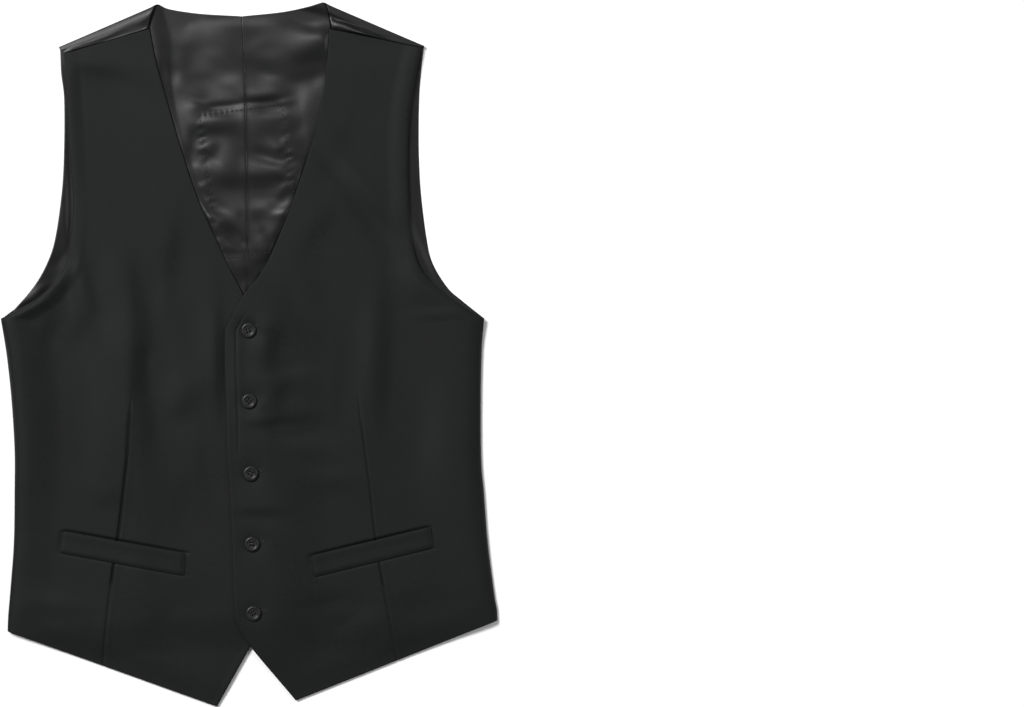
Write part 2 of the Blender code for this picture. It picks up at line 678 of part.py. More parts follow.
def buttons(parent):
    """The buttons on the left front, each on a thread shank from the right front."""
    mesh = button_mesh(parent)
    shank = bmesh.new()
    length = LEFT_TOP - FRONT_TOP - GAP
    bmesh.ops.create_cone(
        shank,
        cap_ends=True,
        segments=HOLE_STEPS,
        radius1=SHANK_RADIUS * MM,
        radius2=SHANK_RADIUS * MM,
        depth=length * MM,
    )
    shank_mesh = bpy.data.meshes.new("thread_shank")
    shank.to_mesh(shank_mesh)
    shank.free()
    for number, button in enumerate(BUTTONS, 1):
        made = place(f"button_{number}", mesh, "button", parent)
        made.location = Vector((button.x, button.y, LEFT_TOP + GAP)) * MM
        made.rotation_euler.z = radians(BUTTON_TURN * number)
        post = place(f"thread_shank_{number}", shank_mesh, "thread", parent)
        post.location = Vector((button.x, button.y, FRONT_TOP + GAP + length / 2)) * MM


def build():
    """The whole waistcoat under one empty."""
    clear_scene()
    vest = bpy.data.objects.new("waistcoat", None)
    bpy.context.collection.objects.link(vest)
    back("back_right", RIGHT_BACK, RIGHT_NECK, RIGHT_SHOULDER_SEAM, -1, vest)
    back("back_left", LEFT_BACK, LEFT_NECK, LEFT_SHOULDER_SEAM, 1, vest)
    heat_pad(vest)
    back_lining("back_lining_right", RIGHT_BACK, RIGHT_NECK, -1, vest)
    back_lining("back_lining_left", LEFT_BACK, LEFT_NECK, 1, vest)
    facing("facing_right", RIGHT_FACING, "wool", False, vest)
    facing("front_lining_right", RIGHT_FRONT_LINING, "satin", False, vest)
    left_facing = facing("facing_left", LEFT_FACING, "wool", True, vest)
    facing("front_lining_left", LEFT_FRONT_LINING, "satin", True, vest)
    front("front_right", RIGHT_FRONT, (0,), 6, False, FRONT_TOP / 2, vest)
    left = front("front_left", LEFT_FRONT, LAP_COLUMNS, 4, True, SIDE_SEAM_LEVEL, vest)
    cutter = slot_cutter(vest)
    cut(left, cutter)
    cut(left_facing, cutter)
    welt("welt_right", RIGHT_WELT, False, vest)
    welt("welt_left", LEFT_WELT, True, vest)
    buttons(vest)


build()
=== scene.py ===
"""A man's dress waistcoat with a heating pad in its back, laid flat on a pale floor, front up.

The tables and functions are in millimetres and the meshes in metres. X runs to the garment's left
side (right and left are the wearer's), Y towards the neck and Z up from the floor. Each cloth panel
is a grid of points: rows run across it from its inner edge to its outer edge, and columns run down.
"""

import json

import bpy
import numpy as np
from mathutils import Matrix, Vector

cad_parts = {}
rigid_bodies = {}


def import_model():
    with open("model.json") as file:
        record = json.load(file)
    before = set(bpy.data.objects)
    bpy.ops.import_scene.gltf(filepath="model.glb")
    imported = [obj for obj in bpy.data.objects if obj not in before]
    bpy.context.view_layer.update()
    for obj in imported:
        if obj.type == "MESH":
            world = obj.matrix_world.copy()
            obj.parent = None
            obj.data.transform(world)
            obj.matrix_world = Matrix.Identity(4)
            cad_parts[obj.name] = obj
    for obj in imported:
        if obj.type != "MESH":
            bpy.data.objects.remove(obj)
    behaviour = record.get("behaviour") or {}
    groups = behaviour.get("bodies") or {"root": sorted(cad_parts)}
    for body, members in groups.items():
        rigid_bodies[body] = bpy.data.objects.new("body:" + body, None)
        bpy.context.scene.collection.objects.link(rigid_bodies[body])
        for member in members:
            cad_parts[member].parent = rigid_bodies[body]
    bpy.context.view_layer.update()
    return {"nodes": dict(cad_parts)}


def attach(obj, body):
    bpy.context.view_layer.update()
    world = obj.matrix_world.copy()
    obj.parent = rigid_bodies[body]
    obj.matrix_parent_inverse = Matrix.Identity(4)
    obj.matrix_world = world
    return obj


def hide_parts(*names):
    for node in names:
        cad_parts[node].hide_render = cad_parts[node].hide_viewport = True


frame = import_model()

MM = 0.001

# Thickness of the cloth
WOOL_WALL = 1.4
SATIN_WALL = 0.6
FACING_WALL = 0.9

# Levels above the floor, as the frame has them: the upper faces of the back linings, of the
# facings and front linings and of the fronts, and how far each is raised elsewhere
LINING_TOP = 2.3
PAD_RISE = 1.3
FACING_TOP = 3.6
FRONT_TOP = 5.7
LAP_RISE = 3.4
LEFT_TOP = FRONT_TOP + LAP_RISE
BUTTON_GAP = 0.3

# The fronts drop past the back hem
DROP = 2.6
DROP_START = 2.0
DROP_LENGTH = 40.0

# The left front laps over the right one: it is raised up to LAP_EDGE_X, between the neck and the
# hem, and comes down over the ramps
LAP_EDGE_X = 18.0
LAP_RAMP = 60.0
LAP_NECK_Y = 130.0
LAP_NECK_RAMP = 70.0
LAP_HEM_Y = -318.0
LAP_HEM_RAMP = 44.0

# The sides of the fronts, the right front's strip under its side, and the turn over the shoulders
SIDE_ROUND = 6.0
SIDE_SEAM_LEVEL = 1.5
UNDER_ROUND = 2.85
UNDER_STRIP_TILT = 0.78
SHOULDER_ROUND = 2.6
SHOULDER_OVER = 9.0
RIGHT_SHOULDER_SLOPE = 0.205
LEFT_SHOULDER_SLOPE = 0.03

# Fronts: inner edge (neck, front edge, slope to the hem point) and outer edge (armhole, side), the
# edges with a corner there, and how far the outer edge has come down at the side
RIGHT_FRONT = (
    (-95.4, 311.7, -177.5, 287.9, "", 0.0),
    (-88.7, 277.9, -175.8, 254.0, "", 0.0),
    (-77.0, 236.6, -174.0, 220.0, "", 0.0),
    (-65.1, 196.3, -171.5, 182.0, "", 0.0),
    (-50.5, 152.2, -169.0, 144.5, "", 0.0),
    (-34.0, 114.7, -171.4, 110.0, "", 0.0),
    (-20.7, 86.4, -178.1, 80.6, "", 0.0),
    (-6.1, 58.1, -201.2, 55.2, "", 0.0),
    (12.1, 23.5, -237.7, 34.1, "in out", 0.3),
    (14.5, 0.0, -232.6, 0.0, "", 1.0),
    (15.5, -49.4, -227.9, -43.7, "", 1.0),
    (15.5, -101.3, -225.0, -91.7, "", 1.0),
    (15.5, -131.0, -225.0, -131.0, "", 1.0),
    (15.5, -180.0, -225.7, -180.0, "", 1.0),
    (15.5, -225.0, -229.0, -225.0, "", 1.0),
    (15.5, -253.9, -230.9, -247.2, "in", 1.0),
    (1.2, -279.8, -231.4, -256.5, "", 1.0),
    (-31.1, -337.4, -231.7, -265.4, "", 1.0),
)
LEFT_FRONT = (
    (76.5, 311.7, 165.0, 293.5, "", 0.0),
    (74.1, 277.9, 159.0, 263.5, "", 0.0),
    (69.4, 243.4, 154.2, 232.8, "", 0.0),
    (60.0, 202.1, 152.0, 199.2, "", 0.0),
    (48.6, 167.5, 152.3, 160.0, "", 0.0),
    (38.1, 136.8, 154.4, 125.0, "", 0.0),
    (23.7, 102.2, 159.4, 94.0, "", 0.0),
    (11.2, 77.3, 170.0, 74.5, "", 0.0),
    (-6.1, 55.2, 193.0, 54.9, "", 0.0),
    (-23.4, 22.6, 224.8, 34.4, "in out", 0.3),
    (-23.4, -10.0, 222.4, 4.3, "", 1.0),
    (-22.0, -49.4, 221.4, -50.0, "", 1.0),
    (-21.0, -101.3, 221.9, -101.3, "", 1.0),
    (-18.6, -131.0, 224.3, -131.0, "", 1.0),
    (-16.3, -180.0, 228.1, -180.0, "", 1.0),
    (-14.9, -225.0, 233.6, -225.0, "", 1.0),
    (-13.0, -255.4, 236.8, -243.0, "in", 1.0),
    (1.2, -279.8, 237.3, -249.5, "", 1.0),
    (44.3, -331.7, 237.7, -254.9, "", 1.0),
)
RIGHT_ARMPIT = 8

# Backs: height on the centre seam, then the armhole and side edge
RIGHT_BACK = (
    (324.0, -182.7, 294.2),
    (285.0, -181.3, 271.2),
    (250.0, -177.9, 244.3),
    (200.0, -177.9, 196.3),
    (157.0, -180.0, 156.0),
    (112.0, -186.4, 111.0),
    (86.0, -194.5, 86.5),
    (64.0, -207.7, 63.8),
    (44.0, -228.6, 39.6),
    (4.0, -220.8, 4.3),
    (-43.7, -215.3, -43.7),
    (-91.7, -212.4, -91.7),
    (-131.0, -212.4, -131.0),
    (-180.0, -213.1, -180.0),
    (-222.0, -216.8, -228.0),
    (-244.3, -219.4, -263.2),
)
LEFT_BACK = (
    (324.0, 167.7, 295.2),
    (285.0, 164.8, 271.2),
    (250.0, 162.4, 244.3),
    (200.0, 161.9, 200.0),
    (157.0, 163.8, 157.0),
    (112.0, 169.6, 110.0),
    (86.0, 175.6, 86.5),
    (64.0, 189.7, 63.8),
    (50.0, 203.0, 51.8),
    (34.0, 224.8, 34.4),
    (4.0, 222.4, 4.3),
    (-46.0, 221.4, -46.0),
    (-101.0, 221.9, -101.0),
    (-131.0, 224.3, -131.0),
    (-180.0, 228.1, -180.0),
    (-218.0, 233.4, -222.0),
    (-244.3, 237.7, -254.9),
)
RIGHT_BACK_CORNER = 8
LEFT_BACK_CORNER = 9

# Share of a back's width where its neck meets its shoulder, and the heights over which its rows
# bend to its top and to its hem
NECK_PEAK = 0.455
TOP_FADE = 90.0
HEM_FADE = 60.0
HEM_BOW = 4.5
CENTRE_SEAM_Y = (-244.3, 101.0, 175.0, 237.6, 267.0, 324.0)
CENTRE_SEAM_X = (-4.2, -2.1, -2.9, -3.9, -4.8, -7.5)
RIGHT_NECK = ((-7.5, 324.0), (-47.4, 326.4), (-76.2, 330.7), (-87.2, 335.5))
LEFT_NECK = ((-7.5, 324.0), (29.4, 327.8), (53.4, 332.6), (69.7, 337.4))
RIGHT_SHOULDER_SEAM = ((-95.4, 312.0), (-177.5, 288.2))
LEFT_SHOULDER_SEAM = ((76.5, 312.0), (165.0, 293.8))

# Facings and front linings: inner and outer edge
RIGHT_FACING = (
    (-73.0, -226.0, 14.0, -224.0),
    (-75.6, -256.0, 14.0, -252.0),
    (-78.0, -283.0, -2.0, -281.0),
    (-81.0, -313.0, -33.0, -329.5),
)
RIGHT_FRONT_LINING = (
    (-224.0, -243.0, -73.5, -226.0),
    (-223.0, -253.0, -78.0, -277.0),
    (-222.0, -261.5, -81.6, -312.5),
)
LEFT_FACING = (
    (-12.0, -224.0, 55.0, -226.0),
    (-11.0, -254.0, 57.5, -258.0),
    (5.0, -282.0, 61.0, -286.0),
    (46.0, -323.5, 66.0, -316.5),
)
LEFT_FRONT_LINING = (
    (55.5, -226.0, 227.0, -237.0),
    (60.5, -280.0, 228.0, -244.0),
    (66.6, -316.0, 229.0, -250.5),
)

# Welts: upper edge from the outer to the inner end, then the lower edge
RIGHT_WELT = ((-177.6, -169.5), (-61.0, -190.7), (-180.8, -190.2), (-61.9, -212.3))
LEFT_WELT = ((174.0, -165.4), (60.5, -192.5), (176.8, -185.2), (62.8, -213.1))

# Buttons: middle, and the inner end of the buttonhole
BUTTONS = (
    (-0.5, 23.0, 8.0, 27.4),
    (0.0, -44.7, 9.9, -41.8),
    (1.6, -114.0, 12.1, -110.9),
    (2.9, -181.3, 14.1, -178.6),
    (4.1, -247.5, 16.6, -245.3),
)
BUTTON_TURN = 23.0

# Darts, from the shoulder down: the stitched line starts at the height that DART_TOP gives
RIGHT_DART = (
    (-136.0, 300.0),
    (-118.0, 120.0),
    (-112.5, -40.8),
    (-117.2, -102.2),
    (-124.9, -169.4),
    (-130.3, -205.0),
    (-135.9, -249.1),
    (-140.6, -296.2),
)
LEFT_DART = (
    (120.0, 300.0),
    (104.0, 120.0),
    (103.2, -36.0),
    (108.5, -76.9),
    (114.9, -123.9),
    (119.5, -168.5),
    (125.0, -205.0),
    (132.1, -243.4),
    (140.9, -293.3),
)
RIGHT_DART_TOP = -38.0
LEFT_DART_TOP = -33.0

# The heating pad: its upper corner on the right, its size and tilt, and its stitches' spacing and
# distance in from its outline
PAD_CORNER = (-49.8, 229.9)
PAD_WIDTH = 82.5
PAD_LENGTH = 142.0
PAD_TILT = np.radians(7.7)
PAD_STITCH = 4.4
PAD_STITCH_IN = 1.5


# ---------------------------------------------------------------- curves and grids


def ease(t):
    """0 below 0, 1 above 1, and a smooth step between: 3t^2 - 2t^3."""
    t = np.clip(t, 0, 1)
    return t * t * (3 - 2 * t)


def bell(distance, half):
    """A bell 1 high: e to the minus square of distance over half."""
    return np.exp(-((distance / half) ** 2))


def unit(vectors):
    """Each vector at length 1."""
    length = np.linalg.norm(vectors, axis=-1, keepdims=True)
    return vectors / np.maximum(length, 1e-9)


SPAN_STEPS = 40
CORNER_CLEAR = 0.6


def smooth_run(points):
    """A Catmull-Rom curve through the points, SPAN_STEPS steps to a span."""
    points = np.array(points, float)
    padded = np.vstack([2 * points[0] - points[1], points, 2 * points[-1] - points[-2]])
    t = (np.arange(1, SPAN_STEPS + 1) / SPAN_STEPS)[None, :, None]
    a, b, c, d = (padded[k : len(padded) - 3 + k, None] for k in range(4))
    run = 0.5 * (2 * b + (c - a) * t + (2 * a - 5 * b + 4 * c - d) * t**2)
    run = run + 0.5 * (3 * b - a - 3 * c + d) * t**3
    return np.vstack([points[:1], run.reshape(-1, points.shape[1])])


def edge_run(points, corners):
    """smooth_run broken at the points whose number is in corners."""
    stops = [0, *corners, len(points) - 1]
    runs = [smooth_run(points[a : b + 1]) for a, b in zip(stops, stops[1:])]
    return np.vstack([runs[0]] + [run[1:] for run in runs[1:]])


def row_marks(inner, outer, cell, near_start, near_end, corners):
    """Places of a grid's rows along its two edge curves, as fractional point numbers.

    Rows are near_start and near_end millimetres from the ends and cell millimetres apart between
    them. One lies on each corner, and none closer to it than CORNER_CLEAR.
    """
    step = np.maximum(*(np.linalg.norm(np.diff(run, axis=0), axis=1) for run in (inner, outer)))
    length = np.concatenate([[0], np.cumsum(step)])
    middle = 0.5 * (np.arange(len(step)) + np.arange(1, len(step) + 1))
    count = np.concatenate([[0], np.cumsum(step / np.broadcast_to(cell, middle.shape))])
    start, end = np.array(near_start), length[-1] - np.array(near_end)[::-1]
    first, last = np.interp((start[-1], end[0]), length, count)
    even = np.linspace(first, last, int(np.ceil(last - first)) + 1)[1:-1]
    marks = np.concatenate([start, np.interp(even, count, length), end])
    fixed = length[np.array(corners, int)]
    clear = (np.abs(marks[:, None] - fixed[None]) > CORNER_CLEAR).all(axis=1)
    marks = np.sort(np.concatenate([marks[clear], fixed]))
    return np.interp(marks, length, np.arange(len(length)))


def at_marks(run, marks):
    """Points of a run at fractional point numbers."""
    numbers = np.arange(len(run))
    return np.stack([np.interp(marks, numbers, run[:, k]) for k in range(run.shape[1])], axis=1)


def spread(values, marks):
    """A table's column at fractional point numbers of its edge curves."""
    return np.interp(marks, np.arange(len(values)) * SPAN_STEPS, values)


def ruled(inner, outer, share):
    """Plan points of a grid: each row runs straight from inner to outer, share of the way."""
    return inner[:, None] + share[..., None] * (outer - inner)[:, None]


def lifted(plan, level):
    """Plan points with their levels, as points in space."""
    return np.concatenate([plan, np.broadcast_to(level, plan.shape[:2])[..., None]], axis=2)


# ---------------------------------------------------------------- levels


def back_hem(x):
    """Height of the back hem at x: two bowed lines from the centre seam to the sides."""
    right, left = RIGHT_BACK[-1][1:], LEFT_BACK[-1][1:]
    centre = (CENTRE_SEAM_X[0], CENTRE_SEAM_Y[0])
    line = np.interp(x, (right[0], centre[0], left[0]), (right[1], centre[1], left[1]))
    half = np.where(x < centre[0], centre[0] - right[0], left[0] - centre[0])
    return line + HEM_BOW * np.sin(np.pi * np.clip(np.abs(x - centre[0]) / half, 0, 1))


def front_level(x, y, top, lapped):
    """Level of a front layer: top, less the drop past the back hem, plus the rise of the lap."""
    level = top - DROP * ease((back_hem(x) - DROP_START - y) / DROP_LENGTH)
    if lapped:
        across = 1 - ease((x - LAP_EDGE_X) / LAP_RAMP)
        below_neck = ease((LAP_NECK_Y - y) / LAP_NECK_RAMP)
        above_hem = ease((y - LAP_HEM_Y) / LAP_HEM_RAMP)
        level = level + LAP_RISE * across * below_neck * above_hem
    return level


def pad_axes():
    """Unit vectors along the pad's width and down its length, and its middle."""
    along = np.array((np.cos(PAD_TILT), np.sin(PAD_TILT)))
    down = np.array((np.sin(PAD_TILT), -np.cos(PAD_TILT)))
    return along, down, np.array(PAD_CORNER) + along * PAD_WIDTH / 2 + down * PAD_LENGTH / 2


def pad_place(x, y):
    """Distances along the pad's width and down its length from its middle."""
    along, down, middle = pad_axes()
    a = (x - middle[0]) * along[0] + (y - middle[1]) * along[1]
    b = (x - middle[0]) * down[0] + (y - middle[1]) * down[1]
    return a, b


def past_pad(x, y):
    """How far a place is past the heating pad's sides: negative over the pad."""
    a, b = pad_place(x, y)
    return np.maximum(np.abs(a) - PAD_WIDTH / 2, np.abs(b) - PAD_LENGTH / 2)


# A crease dies away from CREASE_PAST past its end to CREASE_FADE further in, as shares of its
# length, and narrows there to CREASE_TIP of its width
CREASE_PAST = 0.1
CREASE_FADE = 0.45
CREASE_TIP = 0.55


def creases(x, y, table):
    """Height of soft folds at each point.

    Each is a line from one end to the other, bowed sideways, with a bell across it of that half
    width, and it narrows and dies away towards both ends.
    """
    total = np.zeros(np.shape(x))
    for x0, y0, x1, y1, bow, half, height in table:
        dx, dy = x1 - x0, y1 - y0
        length = np.hypot(dx, dy)
        along = ((x - x0) * dx + (y - y0) * dy) / length**2
        across = ((x - x0) * dy - (y - y0) * dx) / length - 4 * bow * along * (1 - along)
        fade = ease((along + CREASE_PAST) / CREASE_FADE)
        fade = fade * ease((1 + CREASE_PAST - along) / CREASE_FADE)
        total = total + height * fade * bell(across, half * (CREASE_TIP + (1 - CREASE_TIP) * fade))
    return total


# The key light's direction in plan
LIGHT_WAY = (-0.75, 0.6614)

# A bell's running sum, half the root of pi times the error function, is nearly this much times
# tanh of STEP_STEEP t. It sinks back as a bell that is SINK_REACH times as wide.
STEP_HEIGHT = 0.886
STEP_STEEP = 1.16
SINK_REACH = 3.2


def swells(x, y, table):
    """Height of soft swells, each placed by where its slope looks towards the key light.

    A swell's slope is greatest in its middle and fades as an ellipse of its half length, half width
    and turn in degrees. Its height is that slope added up along LIGHT_WAY, which is a rounded step,
    and the step sinks back slowly on both sides.
    """
    total = np.zeros(np.shape(x))
    lx, ly = LIGHT_WAY
    for cx, cy, half_length, half_width, turn, slope in table:
        c, s = np.cos(np.radians(turn)), np.sin(np.radians(turn))
        light = (lx * c + ly * s, ly * c - lx * s)
        side = (-ly * c + lx * s, lx * c + ly * s)
        a = (light[0] / half_length) ** 2 + (light[1] / half_width) ** 2
        b = light[0] * side[0] / half_length**2 + light[1] * side[1] / half_width**2
        d = (side[0] / half_length) ** 2 + (side[1] / half_width) ** 2
        along = (x - cx) * lx + (y - cy) * ly
        across = (y - cy) * lx - (x - cx) * ly
        step = along + b * across / a
        reach = 1 / np.sqrt(a)
        height = STEP_HEIGHT * reach * np.tanh(STEP_STEEP * step / reach)
        height = height * bell(step, SINK_REACH * reach)
        total = total - slope * np.exp(-(d - b * b / a) * across**2) * height
    return total


def line_distance(x, y, line):
    """Signed distance in x from a line that runs down the garment."""
    line = np.array(line)[::-1]
    return x - np.interp(y, line[:, 1], line[:, 0])


# ---------------------------------------------------------------- meshes


def boundary_of(mask):
    """The vertices on a face mask's edges, and those edges as pairs of vertex numbers."""
    rows, columns = mask.shape
    number = np.arange((rows + 1) * (columns + 1)).reshape(rows + 1, columns + 1)
    framed = np.pad(mask, 1)
    flat = framed[:-1, 1:-1] != framed[1:, 1:-1]
    steep = framed[1:-1, :-1] != framed[1:-1, 1:]
    pairs = np.vstack(
        [
            np.stack([number[:, :-1][flat], number[:, 1:][flat]], axis=1),
            np.stack([number[:-1][steep], number[1:][steep]], axis=1),
        ]
    )
    return np.unique(pairs), pairs


# Points measured at once, to save memory
POINTS_AT_ONCE = 1500


def distance_to(points, starts, ends):
    """Distance in space from each point to the nearest of some segments."""
    found = []
    run = ends - starts
    size = np.maximum((run**2).sum(axis=1), 1e-9)
    for some in np.array_split(points, max(1, len(points) // POINTS_AT_ONCE)):
        away = some[:, None] - starts[None]
        t = np.clip((away * run[None]).sum(axis=2) / size, 0, 1)
        found.append(np.sqrt(((away - t[..., None] * run[None]) ** 2).sum(axis=2)).min(axis=1))
    return np.concatenate(found)


# Only points within this many grid steps of a free edge are measured from it
NEAR_STEPS = 6


def shell(name, points, wall, soft, material, up=True, mask=None):
    """Cloth with a closed, rounded rim.

    points is its outer face. The inner face lies the wall's thickness behind it along the normal.
    Within soft of a free edge both close on the middle along a quarter ellipse, and meet there.
    The UV map is the cloth's own: distances along its rows and up its columns, in metres.
    """
    rows, columns = points.shape[:2]
    if mask is None:
        mask = np.ones((rows - 1, columns - 1), bool)
    normal = unit(np.cross(np.gradient(points, axis=1), np.gradient(points, axis=0)))
    weight = np.zeros((rows, columns))
    for i, j in ((0, 0), (0, 1), (1, 0), (1, 1)):
        weight[i : rows - 1 + i, j : columns - 1 + j] += mask
    faces_up = (normal[..., 2] * (weight > 3)).sum() > 0
    flip = faces_up != up
    if flip:
        normal = -normal
    on_edge, pairs = boundary_of(mask)
    flat = points.reshape(-1, 3)
    framed = np.zeros((rows + 2 * NEAR_STEPS, columns + 2 * NEAR_STEPS), bool)
    framed[NEAR_STEPS:-NEAR_STEPS, NEAR_STEPS:-NEAR_STEPS].flat[on_edge] = True
    windows = np.lib.stride_tricks.sliding_window_view(framed, (2 * NEAR_STEPS + 1,) * 2)
    near = windows.any(axis=(2, 3)).reshape(-1)
    away = np.full(len(flat), 2 * soft)
    away[near] = distance_to(flat[near], flat[pairs[:, 0]], flat[pairs[:, 1]])
    away[on_edge] = 0
    close = np.sqrt(1 - (1 - np.clip(away / soft, 0, 1)) ** 2)[:, None]
    side = normal.reshape(-1, 3) * wall / 2
    middle = flat - side
    used = weight.reshape(-1) > 0
    first = np.cumsum(used) - 1
    inside = used.copy()
    inside[on_edge] = False
    second = np.where(inside, np.cumsum(inside) - 1 + used.sum(), first)
    co = np.vstack([(middle + side * close)[used], (middle - side * close)[inside]])
    number = np.arange(rows * columns).reshape(rows, columns)
    quads = np.stack(
        [number[:-1, :-1], number[:-1, 1:], number[1:, 1:], number[1:, :-1]], axis=-1
    )[mask]
    outer, inner = quads, quads[:, ::-1]
    # np.cross(across, down) points the way of the quad wound across first, then down
    if flip:
        outer, inner = inner, outer
    faces = np.vstack([first[outer], second[inner]])
    grid_corner = np.vstack([outer, inner]).reshape(-1)
    step = np.diff(points, axis=1)
    u = np.cumsum(np.hypot(step[..., 0], step[..., 2]), axis=1)
    u = points[:, :1, 0] + np.sign(step[..., 0].sum()) * np.hstack([np.zeros((rows, 1)), u])
    step = np.diff(points[::-1], axis=0)
    v = np.cumsum(np.hypot(step[..., 1], step[..., 2]), axis=0)
    v = points[-1:, :, 1] + np.vstack([v[::-1], np.zeros((1, columns))])
    uv = np.stack([u.reshape(-1), v.reshape(-1)], axis=1)[grid_corner]
    made = mesh_piece(name, co, faces.tolist(), material)
    layer = made.data.uv_layers.new(name="cloth")
    layer.data.foreach_set("uv", (uv * MM).astype(np.float32).reshape(-1))
    return made


def mesh_piece(name, co, faces, material):
    """An object at the origin made of points in millimetres and a list of faces."""
    mesh = bpy.data.meshes.new(name)
    mesh.from_pydata(co * MM, [], faces)
    mesh.materials.append(material)
    mesh.shade_smooth()
    return placed(name, mesh)


def placed(name, thing):
    """An object of this name that holds a mesh, a light or a camera."""
    made = bpy.data.objects.new(name, thing)
    bpy.context.collection.objects.link(made)
    return made


def tubes(name, starts, ends, radius, arch, material, rings=5, sides=6):
    """Stitches: each a round thread from its start to its end that arches up between them.

    The line is start + t (end - start) + arch sin(pi t) upwards, and the radius is
    radius sqrt(sin(pi t)), so both ends close on a point.
    """
    starts, ends = np.array(starts, float), np.array(ends, float)
    t = np.linspace(0, 1, rings + 2)
    line = starts[:, None] + t[None, :, None] * (ends - starts)[:, None]
    line[..., 2] += arch * np.sin(np.pi * t)[None]
    run = unit(ends - starts)
    flat = unit(np.stack([-run[:, 1], run[:, 0], 0 * run[:, 0]], axis=1))
    up = np.cross(run, flat)
    turn = np.linspace(0, 2 * np.pi, sides, endpoint=False)
    ring = flat[:, None] * np.cos(turn)[None, :, None] + up[:, None] * np.sin(turn)[None, :, None]
    size = radius * np.sqrt(np.sin(np.pi * t[1:-1]))
    body = line[:, 1:-1, None] + size[None, :, None, None] * ring[:, None]
    count = rings * sides + 2
    co = np.concatenate(
        [body.reshape(len(starts), -1, 3), line[:, :1], line[:, -1:]], axis=1
    ).reshape(-1, 3)
    k = np.arange(rings * sides).reshape(rings, sides)
    after = np.roll(k, -1, axis=1)
    quads = np.stack([k[:-1], after[:-1], after[1:], k[1:]], axis=-1).reshape(-1, 4)
    first = np.stack([k[0] * 0 + count - 2, after[0], k[0]], axis=1)
    last = np.stack([k[-1] * 0 + count - 1, k[-1], after[-1]], axis=1)
    shift = (np.arange(len(starts)) * count)[:, None, None]
    many = [(part[None] + shift).reshape(-1, part.shape[1]) for part in (quads, first, last)]
    return mesh_piece(name, co, [face for part in many for face in part.tolist()], material)


# ---------------------------------------------------------------- materials


def new_material(name, shader_values):
    """A material with these constant values on its shader's sockets, and its node tools."""
    material = bpy.data.materials.new(name)
    material.use_nodes = True
    tree = material.node_tree
    shader = tree.nodes["Principled BSDF"]
    for socket, value in shader_values.items():
        shader.inputs[socket].default_value = value
    return material, tree, shader


def node(tree, kind, values=(), **settings):
    """A node with its settings and its input values."""
    made = tree.nodes.new(kind)
    for key, value in settings.items():
        setattr(made, key, value)
    for socket, value in values:
        made.inputs[socket].default_value = value
    return made


def math_node(tree, operation, first, second):
    """A Math node on two links or numbers."""
    made = node(tree, "ShaderNodeMath", operation=operation)
    for socket, value in zip(made.inputs, (first, second)):
        if isinstance(value, (int, float)):
            socket.default_value = value
        else:
            tree.links.new(value, socket)
    return made.outputs[0]


def noise(tree, vector, scale, detail, rough=0.5):
    """Noise at a scale, in cells per metre."""
    values = (("Scale", scale), ("Detail", detail), ("Roughness", rough))
    made = node(tree, "ShaderNodeTexNoise", values)
    tree.links.new(vector, made.inputs["Vector"])
    return made.outputs["Fac"]


def two_tone(tree, factor, low, high, dark, light):
    """Colour from dark at low to light at high."""
    ramp = node(tree, "ShaderNodeValToRGB")
    ramp.color_ramp.elements[0].position = low
    ramp.color_ramp.elements[0].color = (*dark, 1)
    ramp.color_ramp.elements[1].position = high
    ramp.color_ramp.elements[1].color = (*light, 1)
    tree.links.new(factor, ramp.inputs["Fac"])
    return ramp.outputs["Color"]


# Period of a Wave texture's bands at scale 1, in metres
BAND_PERIOD = 0.3142


def ribs(tree, vector, turn, period):
    """Sine ribs of a period in metres, side by side along a way turn degrees clockwise of U."""
    mapping = node(tree, "ShaderNodeMapping")
    mapping.inputs["Rotation"].default_value = (0, 0, np.radians(turn))
    tree.links.new(vector, mapping.inputs["Vector"])
    values = (("Scale", BAND_PERIOD / period), ("Distortion", 0.0))
    wave = node(tree, "ShaderNodeTexWave", values, wave_type="BANDS", bands_direction="X")
    tree.links.new(mapping.outputs["Vector"], wave.inputs["Vector"])
    return wave.outputs["Fac"]


def bump(tree, shader, height, strength, distance):
    """Bump on the shader, distance in metres."""
    values = (("Strength", strength), ("Distance", distance))
    made = node(tree, "ShaderNodeBump", values)
    tree.links.new(height, made.inputs["Height"])
    tree.links.new(made.outputs["Normal"], shader.inputs["Normal"])


def wool_material():
    """Fine worsted twill: slanted ribs, yarn, a soft nap, and a slightly uneven black."""
    values = {"Specular IOR Level": 0.13, "Sheen Weight": 0.02, "Sheen Roughness": 0.4}
    material, tree, shader = new_material("black_worsted_wool", values)
    cloth = node(tree, "ShaderNodeTexCoord").outputs["UV"]
    twill = ribs(tree, cloth, 63, 0.00055)
    yarn = noise(tree, cloth, 1500, 2)
    nap = noise(tree, cloth, 260, 4, 0.6)
    broad = noise(tree, cloth, 14, 2)
    weave = math_node(tree, "ADD", math_node(tree, "MULTIPLY", twill, 0.5), yarn)
    tone = math_node(tree, "ADD", math_node(tree, "MULTIPLY", weave, 0.35), nap)
    tone = math_node(tree, "ADD", tone, math_node(tree, "MULTIPLY", broad, 0.5))
    colour = two_tone(tree, tone, 0.65, 1.45, (0.0023, 0.0026, 0.0025), (0.0052, 0.0058, 0.0056))
    tree.links.new(colour, shader.inputs["Base Color"])
    rough = math_node(tree, "ADD", math_node(tree, "MULTIPLY", nap, 0.12), 0.53)
    tree.links.new(rough, shader.inputs["Roughness"])
    bump(tree, shader, math_node(tree, "ADD", weave, nap), 0.5, 0.00012)
    return material


